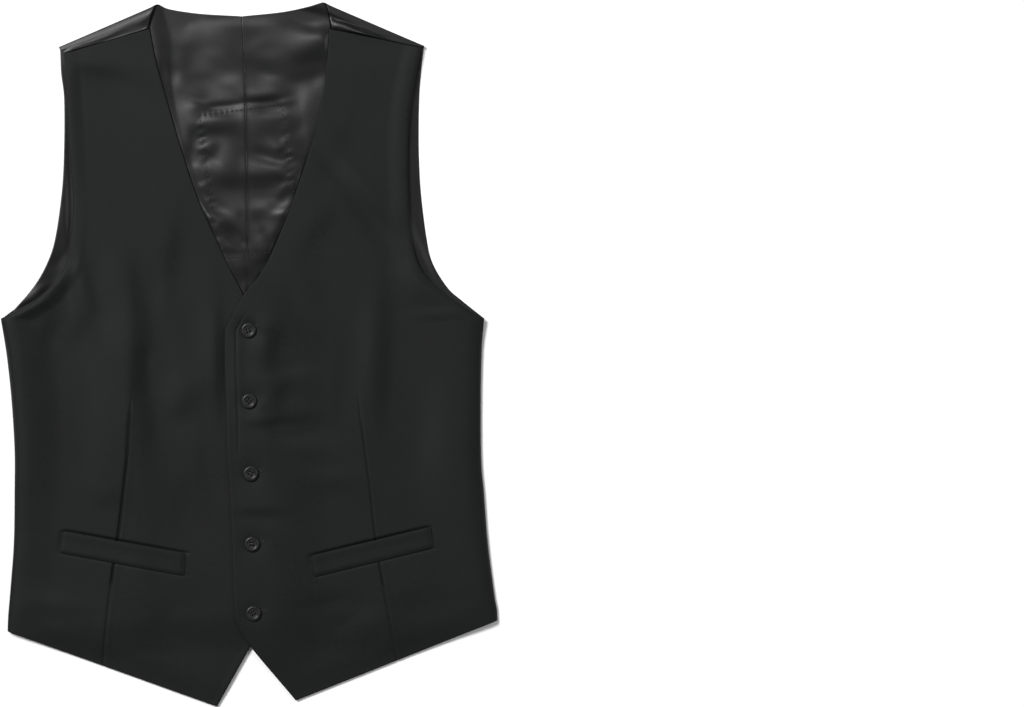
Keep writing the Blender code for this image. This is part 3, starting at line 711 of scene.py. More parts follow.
def satin_material():
    """Black satin: long smooth floats that run down the cloth as fine ribs, and a low sheen."""
    material, tree, shader = new_material("black_satin", {"Specular IOR Level": 0.3})
    cloth = node(tree, "ShaderNodeTexCoord").outputs["UV"]
    floats = ribs(tree, cloth, 0, 0.0004)
    slub = noise(tree, cloth, 420, 3)
    broad = noise(tree, cloth, 18, 2)
    tone = math_node(tree, "ADD", slub, math_node(tree, "MULTIPLY", broad, 0.8))
    colour = two_tone(tree, tone, 0.6, 1.2, (0.0020, 0.0021, 0.0022), (0.0035, 0.0037, 0.0039))
    tree.links.new(colour, shader.inputs["Base Color"])
    rough = math_node(tree, "ADD", math_node(tree, "MULTIPLY", broad, 0.1), 0.34)
    tree.links.new(rough, shader.inputs["Roughness"])
    height = math_node(tree, "ADD", math_node(tree, "MULTIPLY", floats, 0.5), slub)
    bump(tree, shader, height, 0.3, 0.00006)
    return material


def thread_material():
    """Black polyester sewing thread, with a trace of its twist."""
    values = {"Specular IOR Level": 0.4, "Roughness": 0.45}
    material, tree, shader = new_material("black_thread", values)
    place = node(tree, "ShaderNodeTexCoord").outputs["Object"]
    twist = noise(tree, place, 2500, 2)
    colour = two_tone(tree, twist, 0.3, 0.7, (0.005, 0.005, 0.0055), (0.016, 0.017, 0.018))
    tree.links.new(colour, shader.inputs["Base Color"])
    bump(tree, shader, twist, 0.4, 0.0001)
    return material


def button_material():
    """Black moulded plastic, polished, with faint swirls and handling haze."""
    material, tree, shader = new_material("black_button_plastic", {"Specular IOR Level": 0.26})
    place = node(tree, "ShaderNodeTexCoord").outputs["Object"]
    swirl = noise(tree, place, 240, 4)
    haze = noise(tree, place, 900, 3)
    colour = two_tone(tree, swirl, 0.35, 0.75, (0.009, 0.009, 0.0095), (0.017, 0.0175, 0.018))
    tree.links.new(colour, shader.inputs["Base Color"])
    rough = math_node(tree, "ADD", math_node(tree, "MULTIPLY", haze, 0.2), 0.2)
    tree.links.new(rough, shader.inputs["Roughness"])
    bump(tree, shader, haze, 0.15, 0.00005)
    return material


def felt_material():
    """Grey needle-punched felt of the heating pad."""
    values = {"Specular IOR Level": 0.2, "Roughness": 0.95}
    material, tree, shader = new_material("grey_pad_felt", values)
    place = node(tree, "ShaderNodeTexCoord").outputs["Object"]
    fibre = noise(tree, place, 900, 5, 0.7)
    colour = two_tone(tree, fibre, 0.3, 0.7, (0.03, 0.03, 0.03), (0.07, 0.07, 0.07))
    tree.links.new(colour, shader.inputs["Base Color"])
    bump(tree, shader, fibre, 0.6, 0.0003)
    return material


def floor_material():
    """Plain pale floor, hardly textured."""
    values = {"Roughness": 0.9, "Specular IOR Level": 0.0}
    material, tree, shader = new_material("pale_floor", values)
    place = node(tree, "ShaderNodeTexCoord").outputs["Object"]
    fine = noise(tree, place, 40, 3)
    colour = two_tone(tree, fine, 0.3, 0.7, (0.86, 0.86, 0.86), (0.9, 0.9, 0.9))
    tree.links.new(colour, shader.inputs["Base Color"])
    return material


WOOL = wool_material()
SATIN = satin_material()
THREAD = thread_material()
PLASTIC = button_material()


# ---------------------------------------------------------------- fronts

# Places of the close grid lines: in from the inner edge, beside the dart, in from the armhole, as
# angles round the side, and up from the hem and down from the top
NEAR_EDGE = (
    *(0.0, 0.08, 0.25, 0.55, 1.0, 1.8, 3.0, 4.4, 5.4),
    *(6.2, 7.2, 8.6, 9.6, 10.3, 11.0, 11.7, 12.4, 13.6),
)
NEAR_DART = (-6.0, -3.5, -2.0, -1.2, -0.7, -0.3, 0.0, 0.3, 0.7, 1.2, 2.0, 3.5, 6.0)
NEAR_ARMHOLE = (0.08, 0.25, 0.55, 1.0)
SIDE_ANGLES = (0, 12, 24, 36, 48, 60, 72, 82, 90)
HEM_ROWS = (0.0, 0.1, 0.3, 0.6, 1.0, 2.0, 3.5, 5.0)

# The grid's cell, and the finer one between these heights, beside the welts
CLOTH_CELL = 2.9
WELT_CELL = 1.0
WELT_ROWS_Y = (-216, -158)

# Soft swells of the fronts: middle, half length, half width, turn and slope
FRONT_SWELLS = (
    (-164, 24, 29, 8.6, 60, -0.08),
    (-148, 62, 34, 11.5, 65, 0.04),
    (-104, -10, 38, 10.0, 92, -0.34),
    (-108, 55, 34, 8.0, 98, -0.12),
    (-98, -75, 34, 11.0, 90, -0.14),
    (-95, -215, 40, 14.0, 88, -0.05),
    (-145, -45, 75, 15.0, 88, 0.06),
    (-74, 92, 36, 9.0, 82, -0.12),
    (-88, 52, 29, 9.6, 75, 0.08),
    (-47, 5, 40, 9.0, 88, 0.04),
    (-28, -8, 44, 4.6, 90, -0.36),
    (-58, -45, 22, 12.0, 40, -0.10),
    (-152, 62, 30, 7.0, 100, -0.10),
    (-168, 66, 28, 6.0, 92, 0.22),
    (-95, 30, 30, 7.0, 92, -0.10),
    (-8, -10, 30, 4.5, 90, -0.10),
    (14, 22, 9, 6.0, 0, -0.16),
    (12, -51, 7, 5.0, -20, -0.20),
    (-62, -58, 12, 10.0, 0, -0.06),
    (-192, 26, 22, 10.0, 75, -0.18),
    (180, 42, 30, 6.0, 5, 0.07),
    (-145, 272, 30, 12.0, -15, -0.12),
    (-95, 2, 10, 8.0, 0, -0.10),
    (-112, -36, 20, 4.0, 92, -0.10),
    (-85, -125, 45, 20.0, 88, -0.08),
    (-66, -140, 25, 9.0, 88, -0.08),
    (-47, -111, 48, 11.5, 88, -0.06),
    (-182, -236, 38, 13.4, -10, 0.04),
    (-185, -245, 30, 8.0, 0, -0.06),
    (-81, -245, 29, 15.4, 60, -0.08),
    (-134, -140, 17, 11.5, 20, -0.06),
    (-150, -275, 25, 9.0, 70, 0.06),
    (87, 177, 33, 9.6, -55, 0.10),
    (99, 148, 38, 9.6, -60, -0.08),
    (80, 192, 30, 12.0, 60, -0.07),
    (65, 118, 28, 10.0, 55, -0.09),
    (128, -5, 60, 9.0, 88, -0.17),
    (110, 4, 44, 8.6, 88, 0.08),
    (24, 5, 22, 9.0, 70, -0.14),
    (24, -48, 45, 11.0, 88, -0.10),
    (22, 14, 16, 7.0, 85, -0.14),
    (32, -34, 12, 7.0, 60, -0.14),
    (22, -65, 20, 5.0, 4, -0.18),
    (39, -17, 21, 6.7, 10, 0.10),
    (85, -30, 30, 6.0, 88, -0.05),
    (49, -62, 23, 7.7, 5, -0.08),
    (49, -82, 25, 7.7, 0, 0.10),
    (77, -127, 21, 8.6, 0, -0.04),
    (77, -111, 25, 7.7, 0, 0.06),
    (12, -151, 22, 4.5, 0, -0.14),
    (164, 100, 38, 15.4, 70, 0.10),
    (173, -82, 58, 15.4, 88, 0.10),
    (149, -236, 29, 13.4, 20, -0.06),
    (106, -255, 29, 13.4, 30, 0.10),
    (120, -285, 25, 10.0, 30, 0.05),
    (49, 52, 29, 11.5, -60, 0.06),
    (68, -236, 25, 9.6, 10, -0.08),
)

# The soft roll along a front's armhole and side: the height Y, and there the roll's rise, the width
# that it comes down over, and how far from the edge it stays full
RIGHT_ROLL = (
    (300, 0.9, 12, 2),
    (255, 2.0, 14, 2.5),
    (190, 1.6, 13, 3),
    (150, 0.9, 12, 3),
    (90, 0.9, 14, 4),
    (60, 3.6, 20, 4),
    (30, 5.4, 32, 6),
    (0, 5.6, 40, 9),
    (-60, 4.9, 40, 9),
    (-120, 3.6, 40, 9),
    (-170, 1.8, 36, 9),
    (-270, 0.6, 30, 9),
)
LEFT_ROLL = (
    (300, 1.2, 16, 3),
    (255, 2.2, 18, 3),
    (150, 1.9, 18, 3),
    (90, 1.6, 24, 5),
    (40, 2.6, 60, 9),
    (0, 2.2, 60, 9),
    (-60, 1.3, 45, 9),
    (-120, 1.8, 45, 9),
    (-220, 1.8, 45, 9),
    (-270, 0.8, 30, 9),
)
ROLL_EDGE_DIP = 0.3

# The fronts are puffed up by FRONT_LIFT. Their waves sink below FRONT_TOP by WAVE_SINK at most, and
# by up to WAVE_SINK_FREE more where neither the pad nor the front lining lies close below
FRONT_LIFT = 0.9
WAVE_SINK = 0.15
WAVE_SINK_FREE = 0.95
WAVE_PAD_CLEAR = 8.0
WAVE_PAD_FADE = 20.0
WAVE_LINING_Y = -215.0
WAVE_LINING_FADE = 30.0

# A button calms the waves round it and presses the cloth in
BUTTON_CALM = 13.0
BUTTON_DIMPLE = 0.6
BUTTON_DIMPLE_HALF = 8.0


def edge_roll(from_outer, edge_y, table):
    """A front's soft roll: nearly full near its outer edge, then easing down inwards."""
    heights, *columns = np.array(table, float)[::-1].T
    rise, width, top = (np.interp(edge_y, heights, column)[:, None] for column in columns)
    down = ROLL_EDGE_DIP * np.clip(1 - from_outer / top, 0, 1) ** 2
    return rise * (1 - ease((from_outer - top) / width) - down)


def front_wave(x, y):
    """The fronts' soft waves, held down by the buttons and by what lies close under the fronts."""
    wave = FRONT_LIFT + swells(x, y, FRONT_SWELLS)
    free = ease((past_pad(x, y) - WAVE_PAD_CLEAR) / WAVE_PAD_FADE)
    free = free * ease((y - WAVE_LINING_Y) / WAVE_LINING_FADE)
    room = WAVE_SINK + WAVE_SINK_FREE * free
    wave = np.where(wave < 0, -room * np.tanh(-wave / room), wave)
    for button_x, button_y, _, _ in BUTTONS:
        away = np.hypot(x - button_x, y - button_y)
        wave = wave * (1 - bell(away, BUTTON_CALM))
        wave = wave - BUTTON_DIMPLE * bell(away, BUTTON_DIMPLE_HALF)
    return wave


def welt_frame(corners):
    """Middle of a welt, unit vectors along and down it, and its half length and half height."""
    a, b, c, d = np.array(corners)
    middle = (a + b + c + d) / 4
    along = unit(((b + d) - (a + c))[None])[0]
    down = np.array((along[1], -along[0]))
    down = down * np.sign((c - a) @ down)
    half_length = np.linalg.norm((b + d) - (a + c)) / 4
    half_height = abs(((c + d) - (a + b)) @ down) / 4
    return middle, along, down, half_length, half_height


# Grooves round a welt: how deep, how far outside the welt's edge, and how wide. right_end and
# left_end are the ends towards the garment's right and left.
WELT_GROOVES = {
    "mouth": (2.5, 0.2, 1.35),
    "lower": (0.4, 0.3, 0.9),
    "right_end": (1.3, 0.9, 1.1),
    "left_end": (0.15, 0.3, 0.9),
}
MOUTH_SHALLOWER = 0.4

# How far past the welt's ends, and past its long edges, the grooves reach, and over what distance
# they die out
MOUTH_PAST = (1.0, 3.0)
ENDS_PAST = (1.5, 2.0)


def pocket_mouth(x, y, corners):
    """The front's trough at the upper edge of its welt, and the grooves at its sewn edges.

    Each is a bell across its edge. The trough is deepest in its middle and shallower by the square
    of the distance from there.
    """
    middle, along, down, half_length, half_height = welt_frame(corners)
    a = (x - middle[0]) * along[0] + (y - middle[1]) * along[1]
    b = (x - middle[0]) * down[0] + (y - middle[1]) * down[1]
    inside = ease((half_length + MOUTH_PAST[0] - np.abs(a)) / MOUTH_PAST[1])
    between = ease((half_height + ENDS_PAST[0] - np.abs(b)) / ENDS_PAST[1])
    leftwards = a * np.sign(along[0])
    deepest = 1 - MOUTH_SHALLOWER * (a / half_length) ** 2
    beyond = {
        "mouth": (-b - half_height, inside * deepest),
        "lower": (b - half_height, inside),
        "right_end": (-leftwards - half_length, between),
        "left_end": (leftwards - half_length, between),
    }
    level = np.zeros(np.shape(x))
    for edge, (past, share) in beyond.items():
        depth, outside, half = WELT_GROOVES[edge]
        level = level - depth * bell(past - outside, half) * share
    return level


# A dart's groove: the heights where its two depths hold, how it fades at its top and widens with
# its depth, and the greatest depth above the front lining and over it. DART_FULLNESS is the rise of
# the fuller side's cloth. The last two find the dart's column in the grid.
DART_DEPTHS_Y = (-230, -150)
DART_FADE = 30.0
DART_HALF = 0.5
DART_WIDENING = 0.26
DART_DEEPEST = 2.0
DART_OVER_LINING = 0.7
DART_LINING_Y = -214.0
DART_LINING_FADE = 12.0
DART_FULLNESS = 0.22
DART_FULL_PLACE = 2.6
DART_FULL_HALF = 2.2
DART_ROUNDS = 6
DART_SHARES = (0.2, 0.8)


def dart_groove(away, y, top, depths):
    """A dart's seam: a bell-shaped groove with one side slightly fuller, dying out at its top.

    depths are those below and above the pocket, and a deeper groove is wider.
    """
    depth = np.interp(y, DART_DEPTHS_Y, depths)
    groove = bell(away, DART_HALF + DART_WIDENING * depth)
    over_lining = ease((DART_LINING_Y - y) / DART_LINING_FADE)
    deepest = DART_DEEPEST + (DART_OVER_LINING - DART_DEEPEST) * over_lining
    fuller = DART_FULLNESS * bell(away - DART_FULL_PLACE, DART_FULL_HALF)
    return ease((top - y) / DART_FADE) * (fuller - np.minimum(depth, deepest) * groove)


def front_grid(rows, dart, outer_offsets, middle_columns):
    """Plan of a front, its rows' turn at the side, its edges and each point's distances from them.

    The columns lie close at the inner edge, at outer_offsets from the outer edge and beside the
    dart, whose share of each row is found in a few rounds.
    """
    corner_in = [k for k, row in enumerate(rows) if "in" in row[4].split()]
    corner_out = [k for k, row in enumerate(rows) if "out" in row[4].split()]
    inner = edge_run([row[:2] for row in rows], corner_in)
    outer = edge_run([row[2:4] for row in rows], corner_out)
    corners = [k * SPAN_STEPS for k in sorted({*corner_in, *corner_out})]
    height = inner[:-1, 1]
    by_welt = (height > WELT_ROWS_Y[0]) & (height < WELT_ROWS_Y[1])
    cell = np.where(by_welt, WELT_CELL, CLOTH_CELL)
    marks = row_marks(inner, outer, cell, HEM_ROWS, HEM_ROWS, corners)
    turned = spread([row[5] for row in rows], marks)
    inner, outer = at_marks(inner, marks), at_marks(outer, marks)
    width = np.linalg.norm(outer - inner, axis=1)
    line = smooth_run(dart)[::-1]
    share = np.full(len(inner), 0.5)
    for _ in range(DART_ROUNDS):
        y = inner[:, 1] + share * (outer - inner)[:, 1]
        share = (np.interp(y, line[:, 1], line[:, 0]) - inner[:, 0]) / (outer - inner)[:, 0]
        share = np.clip(share, *DART_SHARES)
    near = np.array(NEAR_EDGE)[None] / width[:, None]
    dart_columns = share[:, None] + np.array(NEAR_DART)[None] / width[:, None]
    far = 1 - np.array(outer_offsets)[::-1][None] / width[:, None]
    first, second = (np.linspace(0, 1, n + 2)[None, 1:-1] for n in middle_columns)
    between = near[:, -1:] + first * (dart_columns[:, :1] - near[:, -1:])
    beyond = dart_columns[:, -1:] + second * (far[:, :1] - dart_columns[:, -1:])
    share = np.hstack([near, between, dart_columns, beyond, far])
    plan = ruled(inner, outer, share)
    from_inner = share * width[:, None]
    from_outer = (1 - share) * width[:, None]
    return plan, turned, inner, outer, from_inner, from_outer, marks


# Over what distances a front's waves die out at its side, its hem and its top
WAVE_FROM_SIDE = 14.0
WAVE_FROM_HEM = 24.0
WAVE_TOP_Y = 300.0
WAVE_TOP_FADE = 30.0

# The rim dips at the armhole, down to its foot
RIM_DIP = 0.55
RIM_WIDTH = 2.4
ARMHOLE_FOOT_Y = 34.0
ARMHOLE_FOOT_FADE = 14.0
RIM_SOFT = 0.8

# Below the neck, the pressed front edge's ridge and, as far as its end, the seam beside it: rise or
# depth, distance in from the edge and half width
NECK_FOOT_Y = 45.0
NECK_FOOT_FADE = 25.0
EDGE_RIDGE = (0.2, 2.6, 2.8)
EDGE_SEAM = (0.6, 11.0, 1.0)
EDGE_SEAM_END_Y = -105.0
EDGE_SEAM_FADE = 40.0


def wool_front(name, rows, dart, dart_top, depths, welt, roll, lapped, edge_level, columns):
    """A front: flat over its layers with its creases, and rounded down at the side.

    At the side its level comes down to edge_level along a quarter circle of SIDE_ROUND.
    """
    side = SIDE_ROUND * (1 - np.cos(np.radians(SIDE_ANGLES)))
    outer_offsets = np.unique(np.concatenate([side, NEAR_ARMHOLE]))
    plan, turned, inner, outer, from_inner, from_outer, marks = front_grid(
        rows, dart, outer_offsets, columns
    )
    x, y = plan[..., 0], plan[..., 1]
    level = front_level(x, y, FRONT_TOP, lapped)
    from_hem = np.linalg.norm(plan - plan[-1:], axis=2)
    whole = ease(from_outer / WAVE_FROM_SIDE) * ease(from_hem / WAVE_FROM_HEM)
    whole = whole * ease((WAVE_TOP_Y - y) / WAVE_TOP_FADE)
    level = level + front_wave(x, y) * whole
    level = level + edge_roll(from_outer, outer[:, 1], roll)
    rim = RIM_DIP * np.clip(1 - from_outer / RIM_WIDTH, 0, 1) ** 2
    level = level - rim * ease((outer[:, 1:] - ARMHOLE_FOOT_Y) / ARMHOLE_FOOT_FADE)
    level = level + dart_groove(line_distance(x, y, dart), y, dart_top, depths)
    level = level + pocket_mouth(x, y, welt)
    below_neck = ease((NECK_FOOT_Y - y) / NECK_FOOT_FADE)
    rise, place, half = EDGE_RIDGE
    level = level + rise * bell(from_inner - place, half) * below_neck
    depth, place, half = EDGE_SEAM
    seam = depth * bell(from_inner - place, half) * below_neck
    level = level - seam * ease((y - EDGE_SEAM_END_Y) / EDGE_SEAM_FADE)
    t = np.clip(from_outer / SIDE_ROUND, 0, 1)
    fall = 1 - np.sqrt(1 - (1 - t) ** 2)
    level = level - turned[:, None] * fall * (level - edge_level)
    points = lifted(plan, level)
    mask = None
    if not lapped:
        strip, start = under_strip(inner, outer, level[:, -1], marks)
        mask = np.ones((len(points) - 1, points.shape[1] - 1 + strip.shape[1]), bool)
        mask[:start, points.shape[1] - 1 :] = False
        points = np.concatenate([points, strip], axis=1)
    return shell(name, points, WOOL_WALL, RIM_SOFT, WOOL, mask=mask)


# The strip's columns: angles of its turn under the side, then distances in from the side
UNDER_ANGLES = (-12, -25, -38, -51, -64, -77, -90)
UNDER_RUN = (3.4, 4.8, 7.0, 9.0, 10.4, 11.2, 11.6, 11.85, 12.0)
UNDER_TILT_SPANS = 0.75


def under_strip(inner, outer, edge_level, marks):
    """The right front's strip, and its first row: a quarter circle under the side, then flat.

    Its first rows tilt up by UNDER_STRIP_TILT to meet the armpit.
    """
    start = int(np.argmin(np.abs(marks - RIGHT_ARMPIT * SPAN_STEPS)))
    inward = unit(inner - outer)
    angles = np.radians(UNDER_ANGLES)
    run = np.array(UNDER_RUN)
    width = np.concatenate([UNDER_ROUND * (1 - np.cos(angles)), run])
    height = np.concatenate([1 + np.sin(angles), 0 * run])
    plan = outer[:, None] + width[None, :, None] * inward[:, None]
    fade = ease(1 - (marks - marks[start]) / (UNDER_TILT_SPANS * SPAN_STEPS))[:, None]
    plan[..., 1] += UNDER_STRIP_TILT * width[None] * fade
    return lifted(plan, edge_level[:, None] * height[None]), start


# ---------------------------------------------------------------- backs and linings


def back_grid(rows, corner, neck, side, cell, columns, inset, short, fold):
    """Plan of a back or its lining, with its top bent to the neck and shoulder, and its hem bowed.

    columns are shares of each row's way from the centre seam to the side. inset is how far it stops
    from the side, short how far from the neck and the hem, and fold how far from the shoulder.
    """
    centre = [(np.interp(row[0], CENTRE_SEAM_Y, CENTRE_SEAM_X), row[0]) for row in rows]
    inner = edge_run(centre, [])
    outer = edge_run([row[1:] for row in rows], [corner])
    marks = row_marks(inner, outer, cell, HEM_ROWS, HEM_ROWS, [corner * SPAN_STEPS])
    inner, outer = at_marks(inner, marks), at_marks(outer, marks)
    outer[:, 0] -= side * inset
    inner[:, 0] += side * SEAM_GAP / 2
    plan = ruled(inner, outer, np.broadcast_to(columns, (len(inner), len(columns))))
    top = top_line(neck, inner[0], outer[0], columns, short[0], fold)
    far_down = (plan[0, 0, 1] - plan[:, 0, 1])[:, None, None]
    plan = plan + (1 - ease(far_down / TOP_FADE)) * (top - plan[0])[None]
    far_up = (plan[:, 0, 1] - plan[-1, 0, 1])[:, None]
    hem = back_hem(plan[-1, :, 0]) + short[1] - plan[-1, :, 1]
    plan[..., 1] += (1 - ease(far_up / HEM_FADE)) * hem[None]
    return plan


# Share of the shoulder over which the fold comes away from the neck's peak
PEAK_FADE = 0.12


def top_line(neck, start, end, columns, short_neck, fold):
    """The back's upper edge: the neck line to its peak, then the shoulder fold, fold short of it."""
    neck = smooth_run(neck) - (0, short_neck)
    neck[0] = start - (0, short_neck)
    peak = neck[-1]
    along = unit((end - peak)[None])[0]
    down = np.array((along[1], -along[0])) * np.sign(along[0])
    marks = np.linspace(0, NECK_PEAK, len(neck))
    on_neck = np.stack([np.interp(columns, marks, neck[:, i]) for i in (0, 1)], axis=1)
    share = np.clip((columns - NECK_PEAK) / (1 - NECK_PEAK), 0, 1)[:, None]
    on_fold = peak + share * (end - peak) + fold * ease(share / PEAK_FADE) * down
    return np.where((columns < NECK_PEAK)[:, None], on_neck, on_fold)


def spaced(stops, cells):
    """Numbers from the first stop to the last, about a cell apart between each two stops."""
    parts = [
        np.linspace(a, b, max(2, int(np.ceil((b - a) / cell)) + 1))[:-1]
        for a, b, cell in zip(stops, stops[1:], cells)
    ]
    return np.append(np.concatenate(parts), stops[-1])


# A usual row's width, for the columns' shares, and the gap between the two halves at the seam
BACK_WIDTH = 230.0
SEAM_GAP = 0.15

# Folds of the backs: both ends, bow, half width and how far they stand off the floor
RIGHT_BACK_CREASES = (
    (-86, 322, -172, 285, 3, 5.0, 0.55),
    (-3, 264, -52, 232, -4, 6.5, 0.50),
    (-62, 285, -95, 248, 3, 5.0, 0.60),
    (-152, 240, -96, 84, 9, 7.0, 0.70),
    (-76, 207, -8, 46, -7, 8.5, 0.70),
    (-80, 181, -117, 123, 5, 9.0, 0.55),
    (-100, 176, -104, 128, -2, 5.0, 0.35),
    (-168, 156, -157, 92, 3, 5.0, 0.55),
    (-40, 60, -112, 41, 5, 8.0, 0.55),
    (-88, 31, -168, 12, -4, 7.0, 0.50),
    (-212, 24, -132, -37, 7, 6.0, 0.70),
    (-207, -47, -165, -76, -3, 5.0, 0.55),
    (-152, -202, -210, -217, 3, 6.0, 0.50),
    (-4, -142, -22, -154, 1, 5.0, 0.35),
    (-62, -156, -99, -180, -3, 6.0, 0.40),
    (-30, 150, -52, 96, 6, 10.0, 0.35),
    (-140, -100, -172, -150, 5, 9.0, 0.35),
)
LEFT_BACK_CREASES = (
    (166, 287, 78, 324, -3, 5.0, 0.55),
    (15, 279, 2, 262, 1, 5.0, 0.35),
    (54, 263, 1, 236, 4, 6.5, 0.55),
    (142, 242, 147, 97, -5, 6.0, 0.65),
    (110, 220, 91, 71, 8, 7.5, 0.60),
    (114, 108, 48, 71, -5, 8.0, 0.55),
    (56, 246, 48, 175, 4, 5.5, 0.50),
    (63, 168, 2, 98, -6, 8.0, 0.60),
    (41, 108, 2, 62, -4, 6.0, 0.45),
    (184, 82, 165, 62, 2, 5.0, 0.50),
    (208, 22, 197, -8, 2, 5.0, 0.40),
    (151, -40, 207, -89, -6, 6.0, 0.60),
    (203, -222, 112, -234, 3, 6.5, 0.50),
    (82, 12, 38, -8, 4, 8.0, 0.35),
    (140, -130, 176, -172, 5, 9.0, 0.35),
)

# Darts of the backs, from the top down: -1 is the right back's and 1 the left back's
BACK_DARTS = {
    -1: ((-120.0, 34.0), (-117.0, -50.0), (-113.0, -150.0), (-111.0, -250.0)),
    1: ((127.0, 40.0), (120.0, 25.0), (114.0, -95.0), (112.0, -250.0)),
}


# A back has room to rise off the floor up to its lining, less LINING_CLEAR, and under the pad up to
# UNDER_PAD, within the limits. The folds fill this room steeply.
LINING_CLEAR = 0.1
UNDER_PAD = 0.65
UNDER_PAD_FADE = 15.0
RISE_LIMITS = (0.05, 1.2)
FOLD_STEEP = 1.5
SEAM_RISE = 0.45
SEAM_HALF = 0.8


def back_rise(x, y, side, from_seam):
    """How far the back's face stands off the floor: folds, the centre seam and the darts.

    The folds are room x tanh(FOLD_STEEP x folds / room), so that they never reach the lining.
    """
    folds = creases(x, y, RIGHT_BACK_CREASES if side < 0 else LEFT_BACK_CREASES)
    under_lining = lining_level(x, y) - 2 * SATIN_WALL - LINING_CLEAR
    under_pad = UNDER_PAD + ease(past_pad(x, y) / UNDER_PAD_FADE)
    room = np.clip(np.minimum(under_lining, under_pad), *RISE_LIMITS)
    folds = room * np.tanh(FOLD_STEEP * folds / room)
    dart = BACK_DARTS[side]
    on_dart = bell(line_distance(x, y, dart), SEAM_HALF) * ease((dart[0][1] - y) / DART_FADE)
    seams = SEAM_RISE * (bell(from_seam, SEAM_HALF) + on_dart)
    return np.minimum(folds + seams, np.maximum(room, SEAM_RISE))


# Close columns of a back, in from its edges, and where its even ones start and end
BACK_NEAR = (0.0, 0.1, 0.3, 0.7, 1.3, 2.2)
BACK_STOPS = (3.4, 226.0)
BACK_SOFT = 0.4


def satin_back(name, rows, corner, neck, seam, side):
    """A back: flat on the floor, turned over the shoulder to the shoulder seam."""
    near = np.array(BACK_NEAR) / BACK_WIDTH
    places = np.array((BACK_STOPS[0], NECK_PEAK * BACK_WIDTH, BACK_STOPS[1])) / BACK_WIDTH
    stops = spaced(places, (CLOTH_CELL / BACK_WIDTH,) * 2)
    columns = np.concatenate([near, stops, 1 - near[::-1][1:-1], [1.0]])
    plan = back_grid(
        rows, corner, neck, side, CLOTH_CELL, columns, 0.0, (0.0, 0.0), SHOULDER_ROUND
    )
    x, y = plan[..., 0], plan[..., 1]
    flat = lifted(plan, back_rise(x, y, side, np.abs(x - plan[:, :1, 0])))
    turn = shoulder(plan, neck, rows[0][1:], seam, columns)
    first = int(np.argmin(np.abs(columns - NECK_PEAK)))
    points = np.concatenate([turn[::-1], flat], axis=0)
    mask = np.ones((len(points) - 1, len(columns) - 1), bool)
    mask[: len(turn), :first] = False
    return shell(name, points, SATIN_WALL, BACK_SOFT, SATIN, up=False, mask=mask)


# The turn over the shoulder: its angles up to its middle, then shares of its reach, of which the
# first SHOULDER_QUICK rise quickly, and then shares of the way to the shoulder seam
SHOULDER_ANGLES = (-75, -60, -45, -30, -15, 0)
SHOULDER_SHARES = (0.008, 0.03, 0.065, 0.11, 0.2, 0.32, 0.45, 0.6, 0.78, 1.0)
SHOULDER_QUICK = 0.11
SHOULDER_MOST = 0.6
STRAP_SHARES = (0.12, 0.25, 0.38, 0.5, 0.62, 0.74, 0.84, 0.91, 0.96, 0.985, 1.0)
STRAP_FADES = (0.3, 0.15)

# Swells of the satin between there and the seam, and how far its neck side bows
STRAP_SWELLS = (
    (89, 319, 13, 6.0, -10, 0.36),
    (107, 311, 15, 4.8, -32, 0.40),
    (130, 303, 10, 2.0, -14, 0.16),
    (85, 313, 6, 2.5, 0, -0.12),
    (-174, 293, 7, 3.8, 60, 0.20),
    (-134, 304, 23, 3.8, 25, -0.10),
    (-100, 319, 8, 4.8, 20, -0.12),
)
NECK_SIDE_BOW = 2.4
NECK_SIDE_HALF = 0.05


def shoulder(plan, neck, end, seam, columns):
    """The back's turn over the shoulder: a round fold, a gentle rise, then flat to the seam.

    The fold is a quarter circle up to its middle, then a quick rise, and the gentle rise is a
    quarter sine over reach.
    """
    share = np.clip((columns - NECK_PEAK) / (1 - NECK_PEAK), 0, 1)[:, None]
    peak = np.array(neck[-1])
    fold = peak + share * (np.array(end) - peak)
    sewn = np.array(seam[0]) + share * (np.array(seam[1]) - np.array(seam[0]))
    below = unit(plan[0] - fold)
    above = unit(sewn - fold)
    middle = FRONT_TOP / 2
    angles = np.radians(SHOULDER_ANGLES)[:, None, None]
    under = np.linalg.norm(plan[0] - fold, axis=1)[None, :, None]
    spot = fold[None] + under * (1 - np.cos(angles)) * below[None]
    height = np.broadcast_to(middle * (1 + np.sin(angles)), spot.shape[:2] + (1,))
    to_seam = np.linalg.norm(sewn - fold, axis=1)
    reach = np.minimum(SHOULDER_OVER, SHOULDER_MOST * to_seam)[None, :, None]
    u = np.array(SHOULDER_SHARES)[:, None, None]
    gentle = (RIGHT_SHOULDER_SLOPE if end[0] < 0 else LEFT_SHOULDER_SLOPE) * reach
    quick = np.sqrt(1 - (1 - np.clip(u / SHOULDER_QUICK, 0, 1)) ** 2)
    rise = middle + (middle - gentle) * quick + gentle * np.sin(0.5 * np.pi * u)
    arc = np.concatenate([spot, height], axis=2)
    arc = np.concatenate([arc, np.concatenate([fold[None] + u * reach * above[None], rise], 2)])
    last = arc[-1, :, :2]
    t = np.array(STRAP_SHARES)[:, None, None]
    over = last[None] + t * (sewn - last)[None]
    fade = ease(t[..., 0] / STRAP_FADES[0]) * ease((1 - t[..., 0]) / STRAP_FADES[1])
    lift = swells(over[..., 0], over[..., 1], STRAP_SWELLS) * fade
    turned = np.concatenate([arc, lifted(over, FRONT_TOP + lift)])
    neck_side = bell(share[None, :, 0], NECK_SIDE_HALF)
    neck_side = neck_side * np.linspace(0, 1, len(turned))[:, None]
    turned[..., 0] += NECK_SIDE_BOW * np.sin(np.pi * neck_side) * np.sign(end[0])
    return turned


